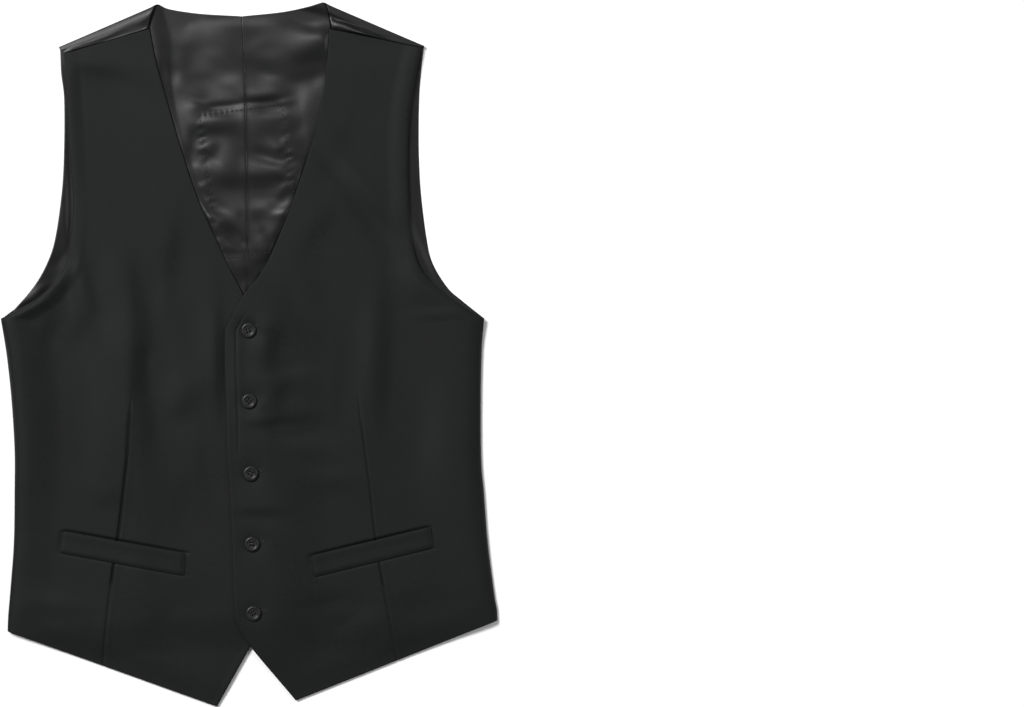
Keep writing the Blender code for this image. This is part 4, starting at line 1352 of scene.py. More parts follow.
# Swells of the back linings, in the V neck and the armholes
LINING_SWELLS = (
    (-62, 332, 16, 6.0, -10, -0.14),
    (-14, 319, 26, 4.5, 2, 0.10),
    (20, 320, 20, 4.5, 6, 0.10),
    (-38, 312, 16, 7.0, 0, 0.03),
    (-66, 284, 18, 13.0, 60, -0.20),
    (63, 330, 20, 5.0, -15, -0.16),
    (60, 311, 20, 9.0, -4, 0.18),
    (56, 284, 20, 10.0, 5, -0.15),
    (18, 288, 14, 7.0, 0, 0.04),
    (4, 298, 16, 6.0, 30, 0.04),
    (-62, 250, 14, 10.0, 85, 0.06),
    (-67, 308, 14, 8.0, 85, -0.06),
    (-57, 206, 22, 6.0, 75, -0.07),
    (-15, 266, 14, 8.0, 0, 0.02),
    (-34, 290, 14, 8.0, 0, 0.04),
    (48, 242, 22, 12.0, 72, 0.14),
    (58, 268, 20, 7.0, 10, -0.12),
    (16, 263, 16, 7.0, -6, 0.17),
    (-18, 264, 13, 7.0, 0, 0.07),
    (18, 254, 18, 4.5, 3, 0.12),
    (14, 243, 17, 3.6, 3, -0.26),
    (-30, 240, 15, 3.6, 5, -0.08),
    (-38, 228, 13, 4.5, 10, 0.17),
    (-30, 229, 13, 5.5, 5, 0.14),
    (24, 231, 15, 5.0, 8, 0.14),
    (-38, 214, 14, 5.0, 0, -0.12),
    (14, 213, 12, 8.0, 10, -0.05),
    (-42, 202, 8, 3.5, 5, 0.10),
    (-42, 192, 7, 3.5, 0, -0.15),
    (-52, 181, 4, 3.0, -10, 0.08),
    (-37, 182, 8, 4.5, -8, 0.07),
    (-28, 190, 16, 6.0, 86, 0.05),
    (-12, 190, 16, 7.0, 88, -0.05),
    (-22, 164, 18, 9.0, 0, -0.10),
    (-46, 163, 4, 3.0, 0, 0.12),
    (-43, 149, 5, 3.0, 0, 0.05),
    (-27, 134, 12, 7.0, -20, 0.19),
    (-39, 133, 3, 2.5, 0, 0.05),
    (31, 205, 3, 3.0, 0, 0.06),
    (31, 195, 6, 3.5, 0, -0.18),
    (18, 184, 15, 6.0, -14, 0.17),
    (29, 182, 7, 4.0, 10, 0.10),
    (14, 168, 18, 6.0, -4, -0.15),
    (-45, 241, 12, 4.0, 10, 0.12),
    (-55, 246, 12, 8.0, 70, 0.05),
    (33, 163, 5, 3.5, 40, 0.14),
    (32, 153, 7, 5.0, 50, -0.18),
    (14, 145, 13, 6.0, 3, 0.15),
    (32, 140, 9, 5.0, 20, 0.21),
    (12, 119, 6, 5.0, 0, -0.08),
    (-8, 108, 5, 4.0, 0, -0.07),
    (5, 131, 9, 9.0, 80, -0.10),
    (25, 110, 12, 6.0, 62, -0.18),
    (-21, 118, 17, 8.0, -60, -0.17),
    (-10, 99, 18, 4.0, -2, -0.14),
    (8, 111, 5, 5.0, 0, 0.03),
    (5, 85, 14, 9.0, 40, -0.24),
    (-6, 66, 4, 5.0, 0, 0.06),
    (50, 172, 34, 3.5, 72, -0.16),
    (32, 125, 30, 3.5, 67, -0.16),
    (14, 86, 20, 3.5, 63, -0.16),
    (-206, 60, 10, 4.6, 48, 0.15),
    (-190, 74, 12, 5.0, 52, -0.16),
    (-178, 200, 90, 7.0, 92, -0.18),
    (-193, 90, 34, 9.0, 68, -0.20),
    (-183, 92, 10, 5.0, 65, -0.24),
    (-174, 138, 42, 2.6, 90, -0.30),
    (-181, 79, 14, 2.6, 57, -0.30),
    (-197, 62, 12, 2.4, 36, -0.30),
    (-214, 49, 12, 2.2, 30, -0.25),
    (-48, 266, 14, 7.0, 0, -0.08),
    (-18, 239, 10, 3.6, 5, -0.10),
    (-57, 197, 12, 5.0, 85, -0.08),
    (-33, 199, 7, 6.0, 0, -0.08),
    (4, 194, 12, 5.0, 0, -0.07),
    (36, 188, 13, 4.0, 0, -0.10),
    (15, 161, 14, 4.0, 0, -0.07),
    (-9, 134, 5, 6.0, 0, -0.06),
    (17, 112, 6, 5.0, 60, -0.08),
    (-4, 92, 8, 4.5, 0, -0.10),
    (-70, 262, 10, 6.0, 80, 0.10),
    (-53, 241, 8, 4.0, 0, 0.08),
    (-16, 227, 14, 4.0, 8, 0.08),
    (48, 212, 10, 7.0, 60, 0.09),
    (66, 262, 10, 7.0, 60, 0.08),
    (66, 309, 9, 6.0, 0, 0.12),
    (29, 138, 10, 4.0, 20, 0.08),
    (157, 190, 95, 7.0, 89, -0.12),
    (170, 92, 30, 7.0, -66, -0.16),
)

# The edges of the open V neck: heights, and the right and the left front's edge there
NECK_Y = (23.5, 58.1, 86.4, 114.7, 152.2, 196.3, 236.6, 277.9, 311.7)
NECK_RIGHT_X = (12.1, -6.1, -20.7, -34.0, -50.5, -65.1, -77.0, -88.7, -95.4)
NECK_LEFT_X = (-23.4, -5.0, 16.0, 29.4, 42.8, 58.2, 68.0, 74.1, 76.5)

# Beside the right front's neck edge the lining rises a little, and comes down over a width: the
# height Y, and there the rise and the width
NECK_FALL = ((60, 0.5, 7), (220, 0.5, 6), (262, 1.1, 9), (290, 1.7, 18), (320, 1.9, 23))
NECK_FALL_START = -30.0
NECK_FALL_FADE = 25.0

# Near the top it lies lower there: by how much, above what height and over what height it grows
NECK_SUNK = ((0.7, 255, 25), (1.4, 275, 20))
NECK_SUNK_WIDTH = 60.0
NECK_TROUGH = (1.4, 258, 34)
NECK_TROUGH_HALF = 0.6

# The lining's puff in the open V: its height, how far past the edges it reaches, over what width it
# fades, and where it is halved at the top
LINING_LIFT = 1.1
LIFT_REACH = 5.0
LIFT_FADE = 40.0
LIFT_TOP_Y = 295.0
LIFT_TOP_FADE = 25.0

# A puff in the upper corner, on the left: height, middle and half width
CORNER_PUFF = (1.2, 62, 299, 18)

# The step at the centre seam: height, half its width and how far it shows
SEAM_STEP = (0.22, 0.9, 7)
SEAM_STEP_TOP_Y = 305.0
SEAM_STEP_FADE = 60.0

# Over the heating pad: where the slopes start, inside its outline, and how wide they are
PAD_SLOPE_IN = 0.5
PAD_SLOPE_RIGHT = 30.0
PAD_SLOPE_LEFT = 18.0
PAD_SLOPE_BELOW = 35.0
PAD_SLOPE_ABOVE = 6.0
PAD_SLOPE_CORNER = 24.0
PAD_CORNER_IN = 16.0
PAD_CORNER_FADE = 34.0

# The lowest level of the lining's face over the back and over the pad, how far it stays below the
# fronts, how softly it keeps to both, and how free it is in the open V neck
OVER_BACK = 1.35
OVER_PAD = 3.05
UNDER_FRONTS = 0.15
SOFT_LIMIT = 0.15
OPEN_NECK_FREE = 6.0
OPEN_NECK_IN = -4.0
OPEN_NECK_FADE = 4.0


def by_neck(x, y, reach, width):
    """1 in the open V neck and out to reach past its edges, fading to 0 over width."""
    right, left = np.interp(y, NECK_Y, NECK_RIGHT_X), np.interp(y, NECK_Y, NECK_LEFT_X)
    return ease((x - right + reach) / width + 1) * ease((left + reach - x) / width + 1)


# Puckers at the pad's stitches: height, length and half width, down its sides and along its top
SIDE_PUCKERS = (0.33, 9.5, 3.8)
TOP_PUCKERS = (0.10, 5.2, 2.2)


def pad_puckers(a, b):
    """Small puckers where the stitches round the heating pad pull at the lining.

    They are sines along the line of stitches with a bell across it. Down the sides slower sines
    shift them and change their height, and along the top only the right half has them.
    """
    height, length, half = SIDE_PUCKERS
    wander = 2.2 * np.sin(b / 9 + 0.03 * a)
    uneven = 0.5 + 0.5 * np.sin(b / 5.3 + 0.05 * a) * np.sin(b / 8.1 + 1)
    across = bell(np.abs(a) - PAD_WIDTH / 2 + PAD_STITCH_IN, half)
    sides = height * np.sin(2 * np.pi * b / length + wander) * across
    sides = sides * uneven * ease((PAD_LENGTH / 2 - np.abs(b)) / 10)
    height, length, half = TOP_PUCKERS
    across = bell(b + PAD_LENGTH / 2 - PAD_STITCH_IN, half)
    top = height * np.sin(2 * np.pi * a / length) * across
    return sides + top * ease((-a - 4) / 10) * ease((a + PAD_WIDTH / 2) / 4)


def over_pad(a, b):
    """1 over the heating pad, and easing down to 0 past each of its sides."""
    wide, long = PAD_WIDTH / 2, PAD_LENGTH / 2
    slope = np.where(a < 0, PAD_SLOPE_RIGHT, PAD_SLOPE_LEFT)
    sideways = 1 - ease((np.abs(a) - wide + PAD_SLOPE_IN) / slope)
    corner = PAD_SLOPE_CORNER * ease((-a - wide + PAD_CORNER_IN) / PAD_CORNER_FADE)
    above = 1 - ease((-b - long + PAD_SLOPE_IN) / (PAD_SLOPE_ABOVE + corner))
    below = 1 - ease((b - long + PAD_SLOPE_IN) / PAD_SLOPE_BELOW)
    return sideways * above * below


def beside_neck_edge(x, y):
    """The lining's rises and falls beside the right front's neck edge: how far they lift it."""
    beside = x - np.interp(y, NECK_Y, NECK_RIGHT_X)
    fall, width = (np.interp(y, *np.array(NECK_FALL).T[[0, k]]) for k in (1, 2))
    lift = fall * (1 - ease(beside / width)) * ease((beside - NECK_FALL_START) / NECK_FALL_FADE)
    for depth, start, grows in NECK_SUNK:
        lift = lift - depth * ease((y - start) / grows) * (1 - ease(beside / NECK_SUNK_WIDTH))
    depth, start, grows = NECK_TROUGH
    trough = depth * bell(beside - width, NECK_TROUGH_HALF * width)
    return lift - trough * ease((y - start) / grows)


def lining_level(x, y):
    """Level of the back lining: raised over the heating pad, puffed up and creased in the V neck.

    It stays above the back or the pad and, except in the open neck, below the fronts. Both limits
    are soft: s x log(exp(level / s) + exp(limit / s)), and the same with both signs turned.
    """
    a, b = pad_place(x, y)
    raised = over_pad(a, b)
    level = LINING_TOP + PAD_RISE * raised + swells(x, y, LINING_SWELLS) + pad_puckers(a, b)
    lift = LINING_LIFT * (1 - 0.5 * ease((y - LIFT_TOP_Y) / LIFT_TOP_FADE))
    level = level + lift * by_neck(x, y, LIFT_REACH, LIFT_FADE) + beside_neck_edge(x, y)
    rise, middle_x, middle_y, half = CORNER_PUFF
    level = level + rise * bell(np.hypot(x - middle_x, y - middle_y), half)
    from_seam = x - np.interp(y, CENTRE_SEAM_Y, CENTRE_SEAM_X)
    height, half, reach = SEAM_STEP
    step = height * np.tanh(from_seam / half) * bell(from_seam, reach)
    level = level - step * ease((SEAM_STEP_TOP_Y - y) / SEAM_STEP_FADE)
    lowest = OVER_BACK + (OVER_PAD - OVER_BACK) * raised
    level = SOFT_LIMIT * np.logaddexp(level / SOFT_LIMIT, lowest / SOFT_LIMIT)
    waves = front_wave(x, y) * ease((WAVE_TOP_Y - y) / WAVE_TOP_FADE)
    highest = front_level(x, y, FRONT_TOP, False) + waves - WOOL_WALL - UNDER_FRONTS
    highest = highest + OPEN_NECK_FREE * by_neck(x, y, OPEN_NECK_IN, OPEN_NECK_FADE)
    return -SOFT_LIMIT * np.logaddexp(-level / SOFT_LIMIT, -highest / SOFT_LIMIT)


# Close columns of a lining, in from its edges, the stops between its even ones and their widths.
# Its rows are LINING_FINE_ROW apart above LINING_FINE_Y and LINING_ROW apart below.
LINING_NEAR = (0.0, 0.06, 0.2, 0.6, 1.2)
LINING_STOPS = (1.8, NECK_PEAK * BACK_WIDTH, 170.0, 226.0)
LINING_CELLS = (1.6, 3.6, 2.4)
LINING_FINE_Y = 20.0
LINING_FINE_ROW = 1.8
LINING_ROW = 5.0

# How far a lining stays inside its back: at the side, the neck, the hem and the shoulder
LINING_IN = (1.0, 0.6, 3.0, 1.8)
LINING_SOFT = 0.2


def lining_back(name, rows, corner, neck, side):
    """A back lining: above the back, raised over the heating pad, with its creases."""
    near = np.array(LINING_NEAR) / BACK_WIDTH
    stops = spaced(np.array(LINING_STOPS) / BACK_WIDTH, np.array(LINING_CELLS) / BACK_WIDTH)
    columns = np.concatenate([near, stops, 1 - near[::-1][1:-1], [1.0]])
    heights = spread([row[0] for row in rows], np.arange((len(rows) - 1) * SPAN_STEPS))
    cell = np.where(heights > LINING_FINE_Y, LINING_FINE_ROW, LINING_ROW)
    at_side, at_neck, at_hem, at_shoulder = LINING_IN
    short = (at_neck, at_hem)
    plan = back_grid(rows, corner, neck, side, cell, columns, at_side, short, at_shoulder)
    level = lining_level(plan[..., 0], plan[..., 1])
    return shell(name, lifted(plan, level), SATIN_WALL, LINING_SOFT, SATIN)


# Close columns of a facing, in from its edges, then where its even ones start and their width
STRIP_NEAR = (0.0, 0.1, 0.3, 0.7, 1.3)
STRIP_EVEN_IN = 2.5
STRIP_CELL = 3.0
STRIP_SOFT = 0.45


def inner_strip(name, rows, material, lapped):
    """A facing or front lining: it lies on its front's inner side and comes down with it."""
    inner = edge_run([row[:2] for row in rows], [])
    outer = edge_run([row[2:] for row in rows], [])
    marks = row_marks(inner, outer, STRIP_CELL, HEM_ROWS[:6], HEM_ROWS[:6], [])
    inner, outer = at_marks(inner, marks), at_marks(outer, marks)
    width = np.linalg.norm(outer - inner, axis=1).max()
    near = np.array(STRIP_NEAR)
    even = np.linspace(STRIP_EVEN_IN, width - STRIP_EVEN_IN, int(width / STRIP_CELL))
    share = np.concatenate([near, even, width - near[::-1]])
    plan = ruled(inner, outer, np.broadcast_to(share / width, (len(inner), len(share))))
    level = front_level(plan[..., 0], plan[..., 1], FACING_TOP, lapped)
    return shell(name, lifted(plan, level), FACING_WALL, STRIP_SOFT, material)


# ---------------------------------------------------------------- welts and buttons


# Close grid lines of a welt, in from its edges. Its even ones, along it and down it: where they
# start, how far they stop from the other edge, and how far apart they are
WELT_NEAR = (0.0, 0.08, 0.25, 0.5, 0.9, 1.6)
WELT_ALONG = (2.8, 2.6, 1.7)
WELT_DOWN = (2.6, 2.4, 1.5)
WELT_WALL = 1.1
WELT_SOFT = 0.55

# A welt's face above its front's, the ridge below its upper edge, and how far it comes down at its
# sewn edges: rise or depth, and half width
WELT_RISE = 1.35
WELT_RIDGE = (0.35, 4.0)
WELT_RIDGE_PLACE = 2.0
WELT_LOWER_EDGE = (0.75, 1.6)
WELT_RIGHT_END = (0.3, 1.6)
WELT_LEFT_END = (0.8, 3.0)


def welt_lines(size, start, short, cell):
    """Places of a welt's grid lines across one of its sizes, as shares of it."""
    near = np.array(WELT_NEAR)
    return np.concatenate([near, np.arange(start, size - short, cell), size - near[::-1]]) / size


def pocket_welt(name, corners, lapped):
    """A welt: a folded strip on the front, its upper edge free and slightly proud."""
    a, b, c, d = np.array(corners)
    length, height = np.linalg.norm(b - a), np.linalg.norm(c - a)
    s, t = welt_lines(length, *WELT_ALONG), welt_lines(height, *WELT_DOWN)
    top = a + s[:, None] * (b - a)
    low = c + s[:, None] * (d - c)
    plan = top[None] + t[:, None, None] * (low - top)[None]
    x, y = plan[..., 0], plan[..., 1]
    down = t[:, None] * height
    from_right, from_left = (s, 1 - s) if a[0] < b[0] else (1 - s, s)
    level = front_level(x, y, FRONT_TOP, lapped) + front_wave(x, y) + WELT_RISE
    level = level + WELT_RIDGE[0] * bell(down - WELT_RIDGE_PLACE, WELT_RIDGE[1])
    edges = (
        (WELT_LOWER_EDGE, height - down),
        (WELT_RIGHT_END, from_right[None] * length),
        (WELT_LEFT_END, from_left[None] * length),
    )
    for (depth, half), away in edges:
        level = level - depth * bell(away, half)
    return shell(name, lifted(plan, level), WELT_WALL, WELT_SOFT, WOOL)


# A button's profile from the middle of its face to the middle of its back: radius and height
BUTTON_PROFILE = (
    *((1.0, 2.0), (2.6, 2.02), (4.0, 2.06), (4.4, 2.16), (4.62, 2.4), (4.8, 2.66)),
    *((5.1, 2.81), (5.5, 2.86), (5.95, 2.8), (6.35, 2.6), (6.75, 2.25), (7.15, 1.8), (7.45, 1.4)),
    *((7.6, 1.1), (7.5, 0.8), (7.2, 0.5), (6.6, 0.25), (5.6, 0.08), (4.0, 0.0)),
)
BUTTON_STEPS = 64
BUTTON_SHARP = np.radians(50)

# A hole's pin, which flares at the top, and its place either way from the button's middle
HOLE_PROFILE = ((0.8, -1.0), (0.8, 1.75), (0.86, 1.9), (1.0, 2.02), (1.05, 2.6))
HOLE_STEPS = 20
HOLE_PLACE = 1.35


def turned_profile(profile, steps):
    """A profile turned about Z: radius x (cos, sin) and height, a row of steps points for each."""
    profile = np.array(profile)
    turn = np.linspace(0, 2 * np.pi, steps, endpoint=False)
    ring = np.stack([np.cos(turn), np.sin(turn)], axis=1)
    return lifted(profile[:, None, :1] * ring[None], profile[:, 1:])


def button(number):
    """A button at the origin without its holes: its profile turned, closed in both middles."""
    co = turned_profile(BUTTON_PROFILE, BUTTON_STEPS)
    rows, steps = co.shape[:2]
    middles = [(0, 0, BUTTON_PROFILE[0][1]), (0, 0, BUTTON_PROFILE[-1][1])]
    co = np.vstack([co.reshape(-1, 3), *middles])
    k = np.arange(rows * steps).reshape(rows, steps)
    after = np.roll(k, -1, axis=1)
    quads = np.stack([k[:-1], k[1:], after[1:], after[:-1]], axis=-1).reshape(-1, 4).tolist()
    caps = np.stack([k[0], after[0], k[0] * 0 + rows * steps], axis=1).tolist()
    caps += np.stack([after[-1], k[-1], k[-1] * 0 + rows * steps + 1], axis=1).tolist()
    return mesh_piece(f"four_hole_button_{number}", co, quads + caps, PLASTIC)


def hole_cutter():
    """Four round pins that flare at the top, as one cutter."""
    one = turned_profile(HOLE_PROFILE, HOLE_STEPS)
    rows, steps = one.shape[:2]
    k = np.arange(rows * steps).reshape(rows, steps)
    after = np.roll(k, -1, axis=1)
    quads = np.stack([k[:-1], after[:-1], after[1:], k[1:]], axis=-1).reshape(-1, 4)
    co, faces = [], []
    for n, (dx, dy) in enumerate(((-1, -1), (-1, 1), (1, -1), (1, 1))):
        co.append(one.reshape(-1, 3) + (HOLE_PLACE * dx, HOLE_PLACE * dy, 0))
        faces += (quads + n * rows * steps).tolist()
        faces += [(k[0][::-1] + n * rows * steps).tolist(), (k[-1] + n * rows * steps).tolist()]
    mesh = bpy.data.meshes.new("hole_cutter")
    mesh.from_pydata(np.vstack(co) * MM, [], faces)
    return placed("hole_cutter", mesh)


def sewn_buttons():
    """The five buttons, cut, turned and set down on the left front."""
    cutter = hole_cutter()
    for number, (x, y, _, _) in enumerate(BUTTONS, 1):
        one = button(number)
        cut = one.modifiers.new("holes", "BOOLEAN")
        cut.operation, cut.solver, cut.object = "DIFFERENCE", "EXACT", cutter
        bpy.context.view_layer.update()
        graph = bpy.context.evaluated_depsgraph_get()
        mesh = bpy.data.meshes.new_from_object(one.evaluated_get(graph))
        one.modifiers.clear()
        one.data = mesh
        turn = np.radians(BUTTON_TURN * number)
        co = np.empty(len(mesh.vertices) * 3, np.float32)
        mesh.vertices.foreach_get("co", co)
        co = co.reshape(-1, 3)
        c, s = np.cos(turn), np.sin(turn)
        spin = np.array(((c, s, 0), (-s, c, 0), (0, 0, 1)))
        co = co @ spin + np.array((x, y, LEFT_TOP + BUTTON_GAP)) * MM
        mesh.vertices.foreach_set("co", co.astype(np.float32).reshape(-1))
        mesh.set_sharp_from_angle(angle=BUTTON_SHARP)
        mesh.update()
    bpy.data.objects.remove(cutter, do_unlink=True)


def laid_stitches(name, middles, turns, level, length, radius, arch):
    """Stitches lying on cloth, with their middles in plan and their turns in degrees.

    level is a function that gives the level of the cloth's face.
    """
    way = np.stack([np.cos(np.radians(turns)), np.sin(np.radians(turns))], axis=1) * length / 2
    ends = [middles - way, middles + way]
    starts, ends = (np.column_stack([plan, level(plan[:, 0], plan[:, 1])]) for plan in ends)
    return tubes(name, starts, ends, radius, arch, THREAD)


# Length, radius and arch of the stitches
PAD_THREAD = (2.8, 0.36, 0.6)
BUTTONHOLE_THREAD = (1.7, 0.34, 0.3)
WELT_THREAD = (1.1, 0.16, 0.15)
PAD_STITCH_SLANT = 24.0
PAD_STITCH_OFF_SEAM = 1.6


def pad_stitches():
    """The stitches that hold the heating pad, round its outline, split between the two linings."""
    half_wide, half_long = PAD_WIDTH / 2 - PAD_STITCH_IN, PAD_LENGTH / 2 - PAD_STITCH_IN
    across = np.arange(-half_wide + 1, half_wide, PAD_STITCH)
    down = np.arange(-half_long + 1, half_long, PAD_STITCH)
    zigzag = np.where(np.arange(len(down)) % 2, 0.5, -0.5)
    lines = (
        (across, 0 * across - half_long, 0 * across),
        (across, 0 * across + half_long, 0 * across),
        (zigzag - half_wide, down, 0 * down + 90),
        (zigzag + half_wide, down, 0 * down + 90),
    )
    a, b, turn = (np.concatenate(part) for part in zip(*lines))
    slant = np.where(np.arange(len(a)) % 2, PAD_STITCH_SLANT, -PAD_STITCH_SLANT)
    along, off, middle = pad_axes()
    plan = middle + a[:, None] * along + b[:, None] * off
    from_seam = plan[:, 0] - np.interp(plan[:, 1], CENTRE_SEAM_Y, CENTRE_SEAM_X)
    for name, way in (("right", -1), ("left", 1)):
        keep = way * from_seam > PAD_STITCH_OFF_SEAM
        turns = (turn + slant + np.degrees(PAD_TILT))[keep]
        laid_stitches(f"pad_stitches_{name}", plan[keep], turns, lining_level, *PAD_THREAD)


# Buttonhole stitches: spacing, distance from the slit, start past the button's middle and stop
# short of the inner end, then the bar's distance past that end and its stitches' places
BUTTONHOLE_STITCH = 0.7
BUTTONHOLE_ROW = 1.05
BUTTONHOLE_START = -3.0
BUTTONHOLE_SHORT = 0.4
BUTTONHOLE_BAR_PAST = 0.1
BUTTONHOLE_BAR = (-0.9, -0.3, 0.3, 0.9)


def buttonhole_stitches(number, x, y, end_x, end_y):
    """A worked buttonhole: two rows of close stitches beside its slit, and a bar at its inner end."""
    run = np.array((end_x - x, end_y - y))
    length = np.linalg.norm(run)
    along, off = run / length, np.array((-run[1], run[0])) / length
    s = np.arange(BUTTONHOLE_START, length - BUTTONHOLE_SHORT, BUTTONHOLE_STITCH)
    rows = [(x, y) + s[:, None] * along + side * BUTTONHOLE_ROW * off for side in (-1, 1)]
    end = (x, y) + (length + BUTTONHOLE_BAR_PAST) * along
    bar = end + np.array(BUTTONHOLE_BAR)[:, None] * off
    middles = np.vstack([*rows, bar])
    turn = np.degrees(np.arctan2(off[1], off[0]))
    turns = np.concatenate([np.full(2 * len(s), turn), np.full(len(bar), turn - 90)])
    name = f"buttonhole_stitches_{number}"
    laid_stitches(name, middles, turns, left_front_level, *BUTTONHOLE_THREAD)


def left_front_level(x, y):
    """Face of the left front away from its edges."""
    return front_level(x, y, FRONT_TOP, True) + front_wave(x, y)


# A welt's tacks: number, shares of its end that they span, distance in and level above the front
TACKS = 7
TACK_SPAN = (0.12, 0.88)
TACK_IN = 1.4
TACK_RISE = 1.15


def welt_tacks(name, corners, lapped):
    """Small stitches that hold the ends of a welt."""
    a, b, c, d = np.array(corners)
    t = np.linspace(*TACK_SPAN, TACKS)[:, None]
    inward = unit((b - a)[None])[0]
    middles = np.vstack([a + t * (c - a) + TACK_IN * inward, b + t * (d - b) - TACK_IN * inward])
    turn = np.degrees(np.arctan2(inward[1], inward[0])) + 90

    def level(x, y):
        return front_level(x, y, FRONT_TOP, lapped) + front_wave(x, y) + TACK_RISE

    laid_stitches(name, middles, np.full(len(middles), turn), level, *WELT_THREAD)


# Three threads run from hole to hole on each side: half length, spacing, height above the button's
# back, radius and arch
BAR_HALF = 1.45
BAR_SPACING = 0.35
BAR_HEIGHT = 1.7
BAR_RADIUS = 0.2
BAR_ARCH = 0.75


def button_threads(number, x, y):
    """The threads between a button's holes: two rows of three."""
    turn = np.radians(BUTTON_TURN * number)
    c, s = np.cos(turn), np.sin(turn)
    top = LEFT_TOP + BUTTON_GAP + BAR_HEIGHT
    across = HOLE_PLACE * np.repeat((-1, 1), 3) + BAR_SPACING * np.tile((-1, 0, 1), 2)
    ends = (
        np.column_stack([x + c * along - s * across, y + s * along + c * across, 0 * across + top])
        for along in (-BAR_HALF, BAR_HALF)
    )
    tubes(f"button_thread_{number}", *ends, BAR_RADIUS, BAR_ARCH, THREAD, rings=7)


# ---------------------------------------------------------------- build

wool_front(
    "wool_front_right",
    RIGHT_FRONT,
    RIGHT_DART,
    RIGHT_DART_TOP,
    depths=(2.0, 1.8),
    welt=RIGHT_WELT,
    roll=RIGHT_ROLL,
    lapped=False,
    edge_level=FRONT_TOP / 2,
    columns=(38, 34),
)
wool_front(
    "wool_front_left",
    LEFT_FRONT,
    LEFT_DART,
    LEFT_DART_TOP,
    depths=(1.3, 0.8),
    welt=LEFT_WELT,
    roll=LEFT_ROLL,
    lapped=True,
    edge_level=SIDE_SEAM_LEVEL,
    columns=(40, 34),
)
RIGHT_OUTLINE = (RIGHT_BACK, RIGHT_BACK_CORNER, RIGHT_NECK)
LEFT_OUTLINE = (LEFT_BACK, LEFT_BACK_CORNER, LEFT_NECK)
satin_back("satin_back_right", *RIGHT_OUTLINE, RIGHT_SHOULDER_SEAM, -1)
satin_back("satin_back_left", *LEFT_OUTLINE, LEFT_SHOULDER_SEAM, 1)
lining_back("satin_lining_right", *RIGHT_OUTLINE, -1)
lining_back("satin_lining_left", *LEFT_OUTLINE, 1)
inner_strip("wool_facing_right", RIGHT_FACING, WOOL, False)
inner_strip("wool_facing_left", LEFT_FACING, WOOL, True)
inner_strip("satin_front_lining_right", RIGHT_FRONT_LINING, SATIN, False)
inner_strip("satin_front_lining_left", LEFT_FRONT_LINING, SATIN, True)
pocket_welt("pocket_welt_right", RIGHT_WELT, False)
pocket_welt("pocket_welt_left", LEFT_WELT, True)
sewn_buttons()
for number, (x, y, end_x, end_y) in enumerate(BUTTONS, 1):
    button_threads(number, x, y)
    buttonhole_stitches(number, x, y, end_x, end_y)
pad_stitches()
welt_tacks("welt_tacks_right", RIGHT_WELT, False)
welt_tacks("welt_tacks_left", LEFT_WELT, True)
pad = frame["nodes"]["heat_pad"]
pad.data.materials.clear()
pad.data.materials.append(felt_material())

# Piece, CAD nodes that it stands for, material slot, and the flat cut of what shows, with no seam
# allowance: width and length in metres, and area in square metres
ROWS = (
    ("wool_front_right", ("front_right",), "wool", (0.27, 0.65), 0.121),
    ("wool_front_left", ("front_left",), "wool", (0.262, 0.644), 0.114),
    ("satin_back_right", ("back_right",), "satin", (0.225, 0.63), 0.115),
    ("satin_back_left", ("back_left",), "satin", (0.242, 0.63), 0.116),
    ("satin_lining_right", ("back_lining_right",), "satin", (0.224, 0.6), 0.112),
    ("satin_lining_left", ("back_lining_left",), "satin", (0.242, 0.6), 0.113),
    ("wool_facing_right", ("facing_right",), "wool", (0.095, 0.105), 0.0075),
    ("wool_facing_left", ("facing_left",), "wool", (0.078, 0.1), 0.0054),
    ("satin_front_lining_right", ("front_lining_right",), "satin", (0.151, 0.087), 0.0078),
    ("satin_front_lining_left", ("front_lining_left",), "satin", (0.174, 0.09), 0.009),
    ("pocket_welt_right", ("welt_right",), "wool", (0.12, 0.022), 0.0026),
    ("pocket_welt_left", ("welt_left",), "wool", (0.118, 0.022), 0.0025),
)
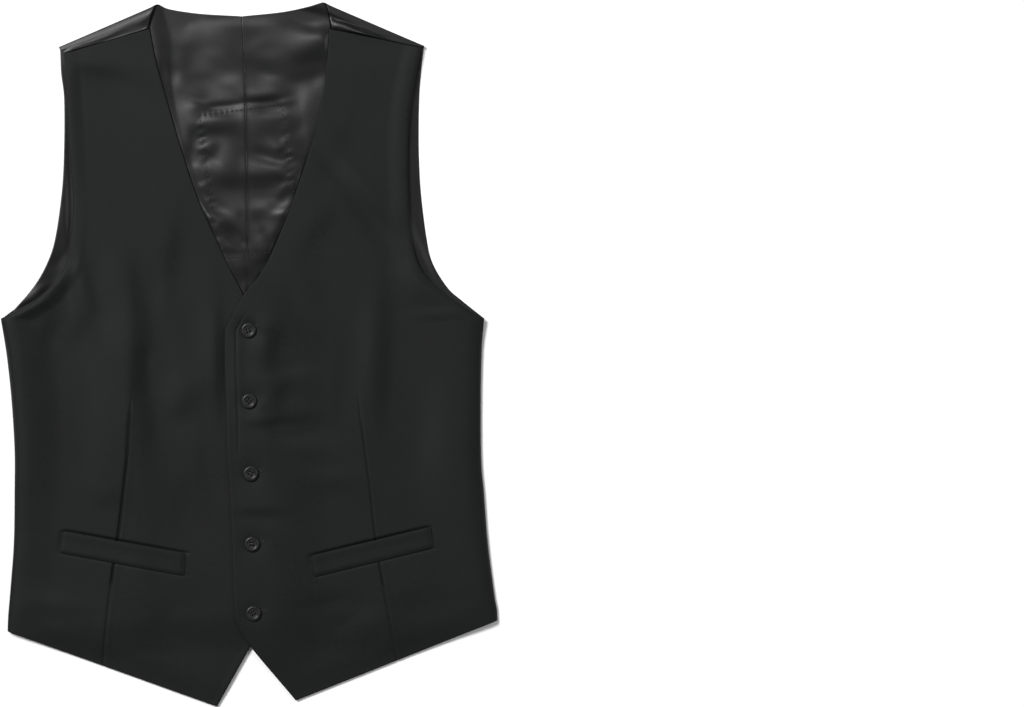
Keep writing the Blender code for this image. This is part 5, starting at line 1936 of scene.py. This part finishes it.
STITCHES = {
    "wool_front_left": [f"buttonhole_stitches_{number}" for number in range(1, 6)],
    "satin_lining_right": ["pad_stitches_right"],
    "satin_lining_left": ["pad_stitches_left"],
    "pocket_welt_right": ["welt_tacks_right"],
    "pocket_welt_left": ["welt_tacks_left"],
}
for name, nodes, slot, flat, area in ROWS:
    piece = bpy.data.objects[name]
    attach(piece, "root")
    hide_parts(*nodes)
    sewn_on = [bpy.data.objects[stitches] for stitches in STITCHES.get(name, ())]
    for stitches in sewn_on:
        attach(stitches, "root")
for number in range(1, 6):
    piece = bpy.data.objects[f"four_hole_button_{number}"]
    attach(piece, "root")
    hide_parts(f"button_{number}")
    piece = bpy.data.objects[f"button_thread_{number}"]
    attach(piece, "root")
    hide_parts(f"thread_shank_{number}")


# ---------------------------------------------------------------- floor, camera and light


def floor():
    """A wide pale floor with its face up, just below the garment's lowest level."""
    half, level = 6000.0, -0.2
    corners = [(-half, -half), (half, -half), (half, half), (-half, half)]
    co = np.column_stack([np.array(corners), np.full(4, level)])
    mesh_piece("floor", co, [(0, 1, 2, 3)], floor_material())


def softbox(name, place, aim, power, size):
    """A square studio light at place that points at aim."""
    light = bpy.data.lights.new(name, "AREA")
    light.energy = power
    light.shape = "SQUARE"
    light.size = size
    made = placed(name, light)
    made.location = place
    made.rotation_euler = (Vector(aim) - Vector(place)).to_track_quat("-Z", "Y").to_euler()


AIM = (0.1, 0, 0)
floor()
softbox("key_softbox", (-2.2, 1.95, 3.75), AIM, power=290, size=1.7)
softbox("fill_softbox", (2.3, 0.6, 2.4), AIM, power=26, size=1.6)
world = bpy.data.worlds.new("studio")
world.use_nodes = True
world.node_tree.nodes["Background"].inputs["Color"].default_value = (1, 1, 1, 1)
world.node_tree.nodes["Background"].inputs["Strength"].default_value = 0.24
bpy.context.scene.world = world
camera = bpy.data.cameras.new("overhead_camera")
camera.lens = 146.73
camera.sensor_width = 36
holder = placed("overhead_camera", camera)
holder.location = (0.2514, 0.0008, 4.0)
bpy.context.scene.camera = holder
bpy.context.scene.view_settings.view_transform = "Standard"
